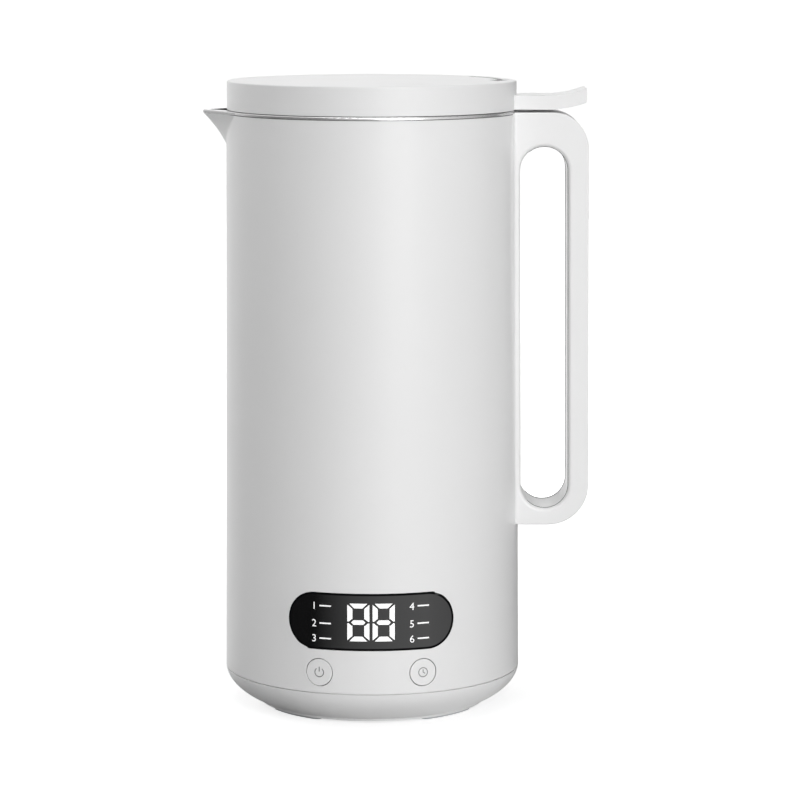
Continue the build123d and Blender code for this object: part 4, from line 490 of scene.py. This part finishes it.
def top_place(node):
    """Maps flat marks onto a top face: along X, along Y and off the surface."""
    surface = surface_of(node)

    def place(point):
        hit = surface.ray_cast(Vector((point.x, point.y, LID_TOP + RAY_START)), Vector((0, 0, -1)))[0]
        if hit is None:
            raise RuntimeError(f"a mark misses {node}")
        return hit + Vector((0, 0, point.z))

    return place


def stroke(mesh, path, width, low, high, closed=False):
    """Adds a solid stroke of even width along a flat path."""
    points = [Vector(p) for p in path]
    count = len(points)
    rings = []
    for i, point in enumerate(points):
        before = points[i - 1] if closed or i else point
        after = points[(i + 1) % count] if closed or i < count - 1 else point
        along = (after - before).normalized()
        side = Vector((-along.y, along.x)) * width / 2
        corners = ((1, low), (-1, low), (-1, high), (1, high))
        rings.append([mesh.verts.new((*(point + s * side), z)) for s, z in corners])
    for i in range(count if closed else count - 1):
        a, b = rings[i], rings[(i + 1) % count]
        for j in range(4):
            k = (j + 1) % 4
            mesh.faces.new((a[j], a[k], b[k], b[j]))
    if not closed:
        mesh.faces.new(rings[0][::-1])
        mesh.faces.new(rings[-1])


def arc(radius, start, end, steps, centre=(0, 0)):
    """Points of an arc, in degrees from the X axis."""
    turns = [math.radians(start + (end - start) * i / steps) for i in range(steps + 1)]
    return [(centre[0] + radius * math.cos(t), centre[1] + radius * math.sin(t)) for t in turns]


def bead(name, path, radius, material):
    """Lays a thin round bead along a path of points, each with the two directions of its section."""
    line = bmesh.new()
    spokes = [math.tau * i / BEAD_SIDES for i in range(BEAD_SIDES)]
    rings = [
        [line.verts.new(point + (first * math.cos(t) + second * math.sin(t)) * radius) for t in spokes]
        for point, first, second in path
    ]
    for ring, after in zip(rings, rings[1:]):
        for j in range(BEAD_SIDES):
            k = (j + 1) % BEAD_SIDES
            line.faces.new((ring[j], ring[k], after[k], after[j]))
    line.faces.new(rings[0][::-1])
    line.faces.new(rings[-1])
    finish_piece(name, line, lambda point: point, material, "housing")


def finish_piece(name, mesh, place, material, body):
    """Lays a flat mesh on its surface and makes it ride on a body."""
    for vertex in mesh.verts:
        vertex.co = place(vertex.co)
    bmesh.ops.recalc_face_normals(mesh, faces=mesh.faces)
    data = bpy.data.meshes.new(name)
    mesh.to_mesh(data)
    mesh.free()
    piece = bpy.data.objects.new(name, data)
    bpy.context.scene.collection.objects.link(piece)
    data.materials.append(material)
    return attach(piece, body)


def numeral(mesh, text, height, centre, low, high):
    """Adds a plain number, cut from Blender's own typeface."""
    letters = bpy.data.curves.new("numeral", "FONT")
    letters.body = text
    letters.size = height * LETTER_SIZE
    letters.align_x = "CENTER"
    letters.resolution_u = 4
    letters.extrude = (high - low) / 2
    holder = bpy.data.objects.new("numeral", letters)
    bpy.context.scene.collection.objects.link(holder)
    bpy.context.view_layer.update()
    shape = bpy.data.meshes.new_from_object(holder)
    shift = Vector((centre[0], centre[1] - height / 2, (high + low) / 2))
    shape.transform(Matrix.Translation(shift))
    mesh.from_mesh(shape)
    bmesh.ops.remove_doubles(mesh, verts=mesh.verts, dist=WELD)
    bpy.data.objects.remove(holder)
    bpy.data.curves.remove(letters)
    bpy.data.meshes.remove(shape)


# ---------------------------------------------------------------- operators


class PieceOperator:
    """What the operators share."""

    bl_options = {"REGISTER", "UNDO"}

    def execute(self, context):
        settings = context.scene
        self.make(settings.soymaker_finish, settings.soymaker_marks, settings.soymaker_stage)
        return {"FINISHED"}


class SOYMAKER_OT_camera(PieceOperator, Operator):
    """Place the camera at the catalogue viewpoint"""

    bl_idname = "soymaker.camera"
    bl_label = "Camera"

    def make(self, finish, marks, stage):
        data = bpy.data.cameras.new("catalogue_camera")
        data.lens = stage.camera_lens
        data.sensor_width = SENSOR_WIDTH
        data.clip_start = CLIP_START
        camera = bpy.data.objects.new("catalogue_camera", data)
        camera.location = stage.camera_place
        camera.rotation_euler = (math.pi / 2 - stage.camera_pitch, 0, 0)
        bpy.context.scene.collection.objects.link(camera)
        bpy.context.scene.camera = camera


class SOYMAKER_OT_stage(PieceOperator, Operator):
    """Build the floor, the studio surroundings and the lamps"""

    bl_idname = "soymaker.stage"
    bl_label = "Stage"

    def make(self, finish, marks, stage):
        bpy.context.scene.view_settings.view_transform = "Standard"
        self.floor(stage)
        self.surroundings(stage)
        self.lamp("key_lamp", stage.key_power, (1.6, 2.8), azimuth=22, elevation=15, distance=3.4)
        self.lamp("top_lamp", stage.top_power, (1.6, 1.6), azimuth=0, elevation=80, distance=1.8)
        rim = self.lamp("rim_lamp", stage.rim_power, (1.9, 1.4), azimuth=-128, elevation=11, distance=2.0)
        back = self.lamp("back_lamp", stage.back_power, (1.6, 1.4), azimuth=160, elevation=14, distance=2.0)
        for lamp in (rim, back):
            lamp.visible_glossy = False

    def floor(self, stage):
        bpy.ops.mesh.primitive_circle_add(
            vertices=FLOOR_SIDES, radius=FLOOR_RADIUS, fill_type="NGON", location=(0, 0, -FLOOR_DROP)
        )
        floor = bpy.context.object
        floor.name = "studio_floor"
        made = Finish("studio_floor", stage.floor_white, 0.7, Specular_IOR_Level=0.1)
        made.shade(made.noise(3, 2), 0.99)
        path = made.node("ShaderNodeLightPath").outputs
        away = made.node("ShaderNodeVectorMath", operation="LENGTH")
        made.link(made.coordinates, away.inputs[0])
        seen = made.node("ShaderNodeEmission")
        made.link(made.spread(away.outputs["Value"], *GLOW, *GLOW_REACH), seen.inputs["Strength"])
        lit = made.node("ShaderNodeAddShader")
        made.link(made.shader.outputs["BSDF"], lit.inputs[0])
        made.link(seen.outputs["Emission"], lit.inputs[1])
        camera_mix = made.node("ShaderNodeMixShader")
        made.link(path["Is Camera Ray"], camera_mix.inputs["Fac"])
        made.link(made.shader.outputs["BSDF"], camera_mix.inputs[1])
        made.link(lit.outputs[0], camera_mix.inputs[2])
        mirrored = made.node("ShaderNodeEmission")
        made.link(made.ring(STUDIO_RING), mirrored.inputs["Color"])
        glossy = made.math("MAXIMUM", path["Is Glossy Ray"], path["Is Transmission Ray"])
        mirror_mix = made.node("ShaderNodeMixShader")
        made.link(glossy, mirror_mix.inputs["Fac"])
        made.link(camera_mix.outputs[0], mirror_mix.inputs[1])
        made.link(mirrored.outputs["Emission"], mirror_mix.inputs[2])
        output = next(n for n in made.tree.nodes if n.type == "OUTPUT_MATERIAL")
        made.link(mirror_mix.outputs[0], output.inputs["Surface"])
        floor.data.materials.append(made.material)

    def surroundings(self, stage):
        """A world that is dim for diffuse light, white for the camera and a ring in reflections."""
        world = bpy.data.worlds.new("studio")
        bpy.context.scene.world = world
        world.use_nodes = True
        graph = Graph(world.node_tree, "Generated")
        output = graph.node("ShaderNodeOutputWorld")
        path = graph.node("ShaderNodeLightPath")
        surface = None
        levels = {"Is Diffuse Ray": stage.side_level, "Is Glossy Ray": 1, "Is Camera Ray": 1}
        for ray, strength in levels.items():
            background = graph.node("ShaderNodeBackground")
            background.inputs["Color"].default_value = (1, 1, 1, 1)
            background.inputs["Strength"].default_value = strength
            if ray == "Is Glossy Ray":
                graph.link(graph.ring(STUDIO_SKY), background.inputs["Color"])
            if surface:
                mixed = graph.node("ShaderNodeMixShader")
                graph.link(path.outputs[ray], mixed.inputs["Fac"])
                graph.link(surface, mixed.inputs[1])
                graph.link(background.outputs[0], mixed.inputs[2])
                surface = mixed.outputs[0]
            else:
                surface = background.outputs[0]
        graph.link(surface, output.inputs["Surface"])

    def lamp(self, name, power, size, azimuth, elevation, distance):
        data = bpy.data.lights.new(name, "AREA")
        data.shape = "RECTANGLE"
        data.size, data.size_y = size
        data.energy = power
        lamp = bpy.data.objects.new(name, data)
        turn, rise = math.radians(azimuth), math.radians(elevation)
        level = math.cos(rise)
        away = Vector((math.sin(turn) * level, -math.cos(turn) * level, math.sin(rise)))
        lamp.location = Vector(LAMP_AIM) + away * distance
        lamp.rotation_euler = away.to_track_quat("Z", "Y").to_euler()
        bpy.context.scene.collection.objects.link(lamp)
        return lamp


class SOYMAKER_OT_white_mouldings(PieceOperator, Operator):
    """Finish the jacket with its handle, the base, the lid and the lever, and lay dark beads of painted shade
    by the liner and under the rim
    """

    bl_idname = "soymaker.white_mouldings"
    bl_label = "White mouldings"

    def make(self, finish, marks, stage):
        white, gloss = finish.jacket_white, finish.gloss
        paint(nodes_of("white_plastic"), moulded_white("moulded_white", white, gloss))
        paint(["outer_shell"], moulded_white("jacket_white", white, gloss, SPOUT_HOLLOW))
        paint(nodes_of("liner_plastic"), moulded_white("liner_white", finish.liner_white, gloss))
        self.shade_lines()

    def shade_lines(self):
        """Dark beads of painted shade along the shut lines beside the handle's liner, and of painted shadow
        under the cup's rolled rim.
        """
        # painted shade: a dark material for the beads that stand in for the shade in the slot's shut lines and
        # under the rim
        dark = Finish("shade_line", (0.12, 0.12, 0.12), 0.8, Specular_IOR_Level=0.1)
        dark.shade(dark.noise(900, 2), 1.3)
        for name, side in (("shade_line_front", -1), ("shade_line_back", 1)):
            path = [
                (Vector((point.x, side * SLOT_SIDE, point.z)), outward, Vector((0, 1, 0)))
                for point, outward in self.slot_wall(side * (SLOT_SIDE - SLOT_MARGIN))
            ]
            bead(name, path, SHADE_LINE_RADIUS, dark.material)
        # painted shadow: a dark bead round the jacket just under the rolled rim, where the rim's underside
        # casts shade
        surface = surface_of("outer_shell")
        path = []
        for i in range(RIM_STEPS + 1):
            turn = math.radians(RIM_START + (RIM_END - RIM_START) * i / RIM_STEPS)
            outward = Vector((math.sin(turn), -math.cos(turn), 0))
            start = outward * (JACKET_RADIUS + RAY_START) + Vector((0, 0, RIM_LINE - RIM_DROP))
            hit = surface.ray_cast(start, -outward)[0]
            if hit is None:
                raise RuntimeError("the rim line misses the jacket")
            place = Vector((hit.x, hit.y, RIM_LINE)) - outward * RIM_SINK
            path.append((place, outward, Vector((0, 0, 1))))
        bead("rim_shade_line", path, SHADE_LINE_RADIUS, dark.material)

    def slot_wall(self, depth):
        """Points round the liner's wall, from below the near side to above it, with their outward direction."""
        surface = surface_of("handle_liner")
        low, high = Vector((*SLOT_LOW, depth)).xzy, Vector((*SLOT_HIGH, depth)).xzy
        turns, sides = SLOT_TURN_STEPS, SLOT_SIDE_STEPS
        rays = [(low, -SLOT_LOW_TURN * (1 - i / turns)) for i in range(turns)]
        rays += [(low.lerp(high, i / sides), 0) for i in range(sides + 1)]
        rays += [(high, SLOT_HIGH_TURN * i / turns) for i in range(1, turns + 1)]
        wall = []
        for start, degrees in rays:
            turn = math.radians(degrees)
            outward = Vector((math.cos(turn), 0, math.sin(turn)))
            hit = surface.ray_cast(start, outward)[0]
            if hit is None:
                raise RuntimeError("the shut line misses the liner")
            wall.append((hit, outward))
        return wall


class SOYMAKER_OT_keys(PieceOperator, Operator):
    """Finish the two keys and print a power sign and a clock on them"""

    bl_idname = "soymaker.keys"
    bl_label = "Keys"

    def make(self, finish, marks, stage):
        paint(nodes_of("key_plastic"), moulded_white("key_white", finish.key_white, finish.gloss))
        ink = Finish("print_grey", finish.print_grey, 0.5)
        ink.shade(ink.noise(4000, 2), 1.5)
        ink.relief(ink.noise(6000, 1), 0.002 * MM)
        low, high = -marks.ink_height, marks.ink_height
        radius, width = marks.symbol_radius, marks.line_width
        power = bmesh.new()
        stroke(power, arc(radius, 130, 410, 28), width, low, high)
        stroke(power, [(0, radius * 0.15), (0, radius * 1.2)], width, low, high)
        place = wall_place(["on_off_button"], -KEY_ANGLE, KEY_HEIGHT)
        finish_piece("power_sign", power, place, ink.material, "on_off_key")
        clock = bmesh.new()
        stroke(clock, arc(radius, 0, 360, 32)[:-1], width, low, high, closed=True)
        stroke(clock, [(0, radius * 0.62), (0, 0), (radius * 0.45, -radius * 0.28)], width, low, high)
        place = wall_place(["timer_button"], KEY_ANGLE, KEY_HEIGHT)
        finish_piece("clock_sign", clock, place, ink.material, "timer_key")


class SOYMAKER_OT_display(PieceOperator, Operator):
    """Finish the black window and light its digits and mode marks"""

    bl_idname = "soymaker.display"
    bl_label = "Display"

    def make(self, finish, marks, stage):
        glass = Finish("window_black", finish.window_black, 0.08, IOR=1.56)
        glass.shade(glass.noise(60, 3), 1.4)
        glass.polish(glass.noise(90, 4), 0.02)
        glass.relief(glass.noise(500, 1), 0.001 * MM)
        paint(nodes_of("window_black"), glass.material)
        lit = self.lit_white("lit_digits", finish.digit_white, 0.5)
        paint(nodes_of("digit_white"), lit)
        self.border(glass)
        self.mask(glass)
        print_white = self.lit_white("mode_print", finish.digit_white, 0.35)
        low, high = -marks.ink_height, marks.ink_height
        reach = (marks.bar_length + marks.numeral_height) / 2
        for side, angle, first in (("left", LEFT_MODES_ANGLE, 1), ("right", RIGHT_MODES_ANGLE, 4)):
            for row, height in enumerate(MODE_ROWS):
                mark = bmesh.new()
                numeral(mark, str(first + row), marks.numeral_height, (-reach, 0), low, high)
                start = -reach + marks.numeral_height * 0.75
                bar = [(start + marks.bar_length * i / BAR_STEPS, 0) for i in range(BAR_STEPS + 1)]
                stroke(mark, bar, marks.bar_width, low, high)
                place = wall_place(WINDOW_NODES, angle, height)
                finish_piece(f"mode_{side}_{row + 1}", mark, place, print_white, "housing")

    def border(self, glass):
        """The matt black line printed round the window's edge."""
        black = Finish("border_black", glass.base, 0.9, Specular_IOR_Level=0.0)
        black.shade(black.noise(800, 2), 1.3)
        radius = WINDOW_HEIGHT / 2 - BORDER_WIDTH / 2 - BORDER_INSET
        middle = WINDOW_HALF_ANGLE * JACKET_RADIUS - WINDOW_HEIGHT / 2
        steps, half = BORDER_STEPS, BORDER_STEPS / 2
        path = arc(radius, -90, 90, steps, (middle, 0))
        path += [(middle * (1 - i / half), radius) for i in range(1, steps)]
        path += arc(radius, 90, 270, steps, (-middle, 0))
        path += [(middle * (i / half - 1), -radius) for i in range(1, steps)]
        line = bmesh.new()
        stroke(line, path, BORDER_WIDTH, -INK, INK, closed=True)
        place = wall_place(WINDOW_NODES, 0, WINDOW_CENTRE)
        finish_piece("window_border", line, place, black.material, "housing")

    def mask(self, glass):
        """The black mask that trims the lit bars and parts them at their mitres."""
        wide, high, bar = DIGIT_WIDTH, DIGIT_HEIGHT / 2, DIGIT_STROKE
        mask = bmesh.new()

        def cut(start, width, *points):
            path = []
            for (x, z), (next_x, next_z) in zip(points, points[1:]):
                for i in range(BAR_STEPS):
                    path.append((start + x + (next_x - x) * i / BAR_STEPS, z + (next_z - z) * i / BAR_STEPS))
            path.append((start + points[-1][0], points[-1][1]))
            stroke(mask, path, width, INK / 2, INK)

        for start in DIGIT_STARTS:
            for up in (1, -1):
                end = up * (high - MASK_END / 2 + MASK_SHIFT)
                cut(start, MASK_END, (-MASK_OVERRUN, end), (wide + MASK_OVERRUN, end))
                middle = up * (bar / 2 - MASK_GAP / 4)
                cut(start, MASK_GAP / 2, (bar - MASK_SIDE, middle), (wide - bar + MASK_SIDE, middle))
                for edge, inward in ((0, 1), (wide, -1)):
                    side = edge + inward * (bar - MASK_SIDE / 2)
                    inner = (side, up * (high - bar))
                    root = (edge + inward * bar / 4, 0)
                    tip = (edge + inward * (bar - MASK_SIDE), up * bar / 2)
                    cut(start, MASK_SIDE, (side, up * (bar / 2 - MASK_GAP / 2)), inner)
                    cut(start, MASK_GAP, (edge, up * (high - MASK_END)), inner)
                    cut(start, MASK_GAP, (edge, 0), root, tip)
        place = wall_place(WINDOW_NODES, 0, WINDOW_CENTRE)
        finish_piece("digit_mask", mask, place, glass.material, "housing")

    def lit_white(self, name, base, glow):
        made = Finish(name, base, 0.5, Emission_Color=(*tuple(base), 1), Emission_Strength=glow)
        made.shade(made.noise(200, 2), 0.97)
        return made.relief(made.noise(900, 2), 0.002 * MM)


class SOYMAKER_OT_lid_arrow(PieceOperator, Operator):
    """Print a plain turning arrow on the lid, beside the lever"""

    bl_idname = "soymaker.lid_arrow"
    bl_label = "Lid arrow"

    def make(self, finish, marks, stage):
        ink = Finish("lid_print", finish.print_grey, 0.5)
        ink.shade(ink.noise(4000, 2), 1.4)
        ink.relief(ink.noise(6000, 1), 0.002 * MM)
        low, high = -marks.ink_height, marks.arrow_ink_height
        arrow = bmesh.new()
        stroke(arrow, arc(marks.arrow_radius, ARROW_START, ARROW_END, 24), marks.arrow_width, low, high)
        head = [Vector(corner) * MM for corner in ARROW_HEAD]
        floor = [arrow.verts.new((*point, low)) for point in head]
        roof = [arrow.verts.new((*point, high)) for point in head]
        arrow.faces.new(floor[::-1])
        arrow.faces.new(roof)
        for i in range(len(head)):
            j = (i + 1) % len(head)
            arrow.faces.new((floor[i], floor[j], roof[j], roof[i]))
        finish_piece("turning_arrow", arrow, top_place("lid_cover"), ink.material, "lid")


class SOYMAKER_OT_steel(PieceOperator, Operator):
    """Finish the drawn cup, the cutter and the plated screws"""

    bl_idname = "soymaker.steel"
    bl_label = "Steel"

    def make(self, finish, marks, stage):
        paint(nodes_of("steel"), spun_metal("drawn_steel", finish.steel_grey, 0.24))
        paint(nodes_of("steel_parts"), cast_metal("plated_steel", slot_colour("steel_parts"), 0.34))


class SOYMAKER_OT_rubber(PieceOperator, Operator):
    """Finish the lid's seal, the shaft seal, the dampers and the foot pads"""

    bl_idname = "soymaker.rubber"
    bl_label = "Seals and rubber"

    def make(self, finish, marks, stage):
        seal = Finish("silicone", slot_colour("silicone"), 0.42, Subsurface_Weight=0.15, Subsurface_Scale=0.002)
        seal.shade(seal.noise(50, 3), 0.95)
        seal.polish(seal.noise(400, 2), 0.06)
        seal.relief(seal.noise(900, 3), 0.01 * MM)
        paint(nodes_of("silicone"), seal.material)
        for slot in ("dark_rubber", "grey_rubber"):
            paint(nodes_of(slot), dark_moulding(slot, slot_colour(slot), 0.72))


class SOYMAKER_OT_hidden_plastics(PieceOperator, Operator):
    """Finish the black mouldings, the frame and the inlet"""

    bl_idname = "soymaker.hidden_plastics"
    bl_label = "Hidden plastics"

    def make(self, finish, marks, stage):
        finishes = {"black_plastic": 0.42, "frame_plastic": 0.46, "parts_plastic": 0.4}
        for slot, roughness in finishes.items():
            paint(nodes_of(slot), dark_moulding(slot, slot_colour(slot), roughness))


class SOYMAKER_OT_boards(PieceOperator, Operator):
    """Finish the circuit boards and the leads"""

    bl_idname = "soymaker.boards"
    bl_label = "Boards and leads"

    def make(self, finish, marks, stage):
        board = Finish("board_green", slot_colour("board_green"), 0.32, Coat_Weight=0.4)
        tracks = board.math(
            "MAXIMUM", board.bands(190, "X", distortion=0.6), board.bands(170, "Y", distortion=0.5)
        )
        board.shade(tracks, 1.7, 0.8, 0.9)
        board.polish(board.noise(300, 3), 0.06)
        board.relief(tracks, 0.03 * MM)
        paint(nodes_of("board_green"), board.material)
        sleeve = Finish("lead_sleeve", slot_colour("lead_sleeve"), 0.4)
        sleeve.shade(sleeve.noise(70, 2), 0.8)
        sleeve.polish(sleeve.noise(500, 2), 0.08)
        sleeve.relief(sleeve.noise(1500, 2), 0.01 * MM)
        paint(nodes_of("lead_sleeve"), sleeve.material)


class SOYMAKER_OT_motor(PieceOperator, Operator):
    """Finish the motor's castings, cores, windings, brushes and brass"""

    bl_idname = "soymaker.motor"
    bl_label = "Motor and heater"

    def make(self, finish, marks, stage):
        paint(nodes_of("aluminium"), cast_metal("cast_aluminium", slot_colour("aluminium"), 0.42))
        paint(nodes_of("brass"), spun_metal("brass", slot_colour("brass"), 0.28))
        paint(nodes_of("magnet"), cast_metal("magnet", slot_colour("magnet"), 0.36))
        copper = Finish("copper_wire", slot_colour("copper"), 0.3, 1.0)
        turns = copper.bands(420, "Z", copper.round_the_axis(0.02), distortion=0.8)
        copper.shade(turns, 0.55, 0.1, 0.5)
        copper.polish(copper.noise(400, 2), 0.08)
        copper.relief(turns, 0.15 * MM)
        paint(nodes_of("copper"), copper.material)
        core = Finish("core_steel", slot_colour("core_steel"), 0.45, 0.9)
        sheets = core.bands(320, "Z")
        core.shade(sheets, 0.6, 0.0, 0.4)
        core.polish(core.noise(200, 3), 0.1)
        core.relief(sheets, 0.05 * MM)
        paint(nodes_of("core_steel"), core.material)
        carbon = Finish("carbon", slot_colour("carbon"), 0.6)
        carbon.shade(carbon.noise(900, 3), 1.6)
        carbon.relief(carbon.noise(2500, 2), 0.02 * MM)
        paint(nodes_of("carbon"), carbon.material)


class SOYMAKER_OT_screw_slots(PieceOperator, Operator):
    """Mark the cross recesses of the screws that hold the base as dark crosses of painted shade"""

    bl_idname = "soymaker.screw_slots"
    bl_label = "Screw recesses"

    def make(self, finish, marks, stage):
        # painted shade: near-black crosses laid on the plated heads where the recesses' depth would be in shade
        dark = Finish("recess_shade", (0.02, 0.02, 0.022), 0.5, 0.6)
        dark.shade(dark.noise(1500, 2), 1.8)
        dark.relief(dark.noise(2500, 2), 0.01 * MM)
        heads = []
        for vertex in frame["nodes"]["base_screws"].data.vertices:
            near = next((h for h in heads if (h[0] - vertex.co.xy).length < HEAD_WIDTH), None)
            if near is None:
                near = [vertex.co.xy.copy(), []]
                heads.append(near)
            near[1].append(vertex.co.copy())
        recesses = bmesh.new()
        for _, points in heads:
            xs, ys = [p.x for p in points], [p.y for p in points]
            centre = Vector(((min(xs) + max(xs)) / 2, (min(ys) + max(ys)) / 2))
            floor = min(p.z for p in points)
            low, high = floor - RECESS_PROUD, floor + RECESS_DEPTH
            for across in (Vector((RECESS_ARM, 0)), Vector((0, RECESS_ARM))):
                stroke(recesses, [centre - across, centre + across], RECESS_WIDTH, low, high)
        finish_piece("recess_shade_crosses", recesses, lambda point: point, dark.material, "housing")


OPERATORS = (
    SOYMAKER_OT_camera,
    SOYMAKER_OT_stage,
    SOYMAKER_OT_white_mouldings,
    SOYMAKER_OT_keys,
    SOYMAKER_OT_display,
    SOYMAKER_OT_lid_arrow,
    SOYMAKER_OT_steel,
    SOYMAKER_OT_rubber,
    SOYMAKER_OT_hidden_plastics,
    SOYMAKER_OT_boards,
    SOYMAKER_OT_motor,
    SOYMAKER_OT_screw_slots,
)


class SOYMAKER_PT_pieces(Panel):
    """Lists the settings and the steps that dress the soy milk maker"""

    bl_idname = "SOYMAKER_PT_pieces"
    bl_label = "Soy Milk Maker"
    bl_space_type = "VIEW_3D"
    bl_region_type = "UI"
    bl_category = "Soy Maker"

    def draw(self, context):
        for name, group in GROUPS.items():
            box = self.layout.box()
            for setting in group.__annotations__:
                box.prop(getattr(context.scene, name), setting)
        for operator in OPERATORS:
            self.layout.operator(operator.bl_idname)


GROUPS = {
    "soymaker_finish": SOYMAKER_PG_finish,
    "soymaker_marks": SOYMAKER_PG_marks,
    "soymaker_stage": SOYMAKER_PG_stage,
}


def register():
    for group in GROUPS.values():
        bpy.utils.register_class(group)
    for name, group in GROUPS.items():
        setattr(bpy.types.Scene, name, PointerProperty(type=group))
    for operator in OPERATORS:
        bpy.utils.register_class(operator)
    bpy.utils.register_class(SOYMAKER_PT_pieces)


def unregister():
    bpy.utils.unregister_class(SOYMAKER_PT_pieces)
    for operator in reversed(OPERATORS):
        bpy.utils.unregister_class(operator)
    for name in GROUPS:
        delattr(bpy.types.Scene, name)
    for group in reversed(GROUPS.values()):
        bpy.utils.unregister_class(group)


def main():
    register()
    for operator in OPERATORS:
        family, action = operator.bl_idname.split(".")
        getattr(getattr(bpy.ops, family), action)()


if __name__ == "__main__":
    main()
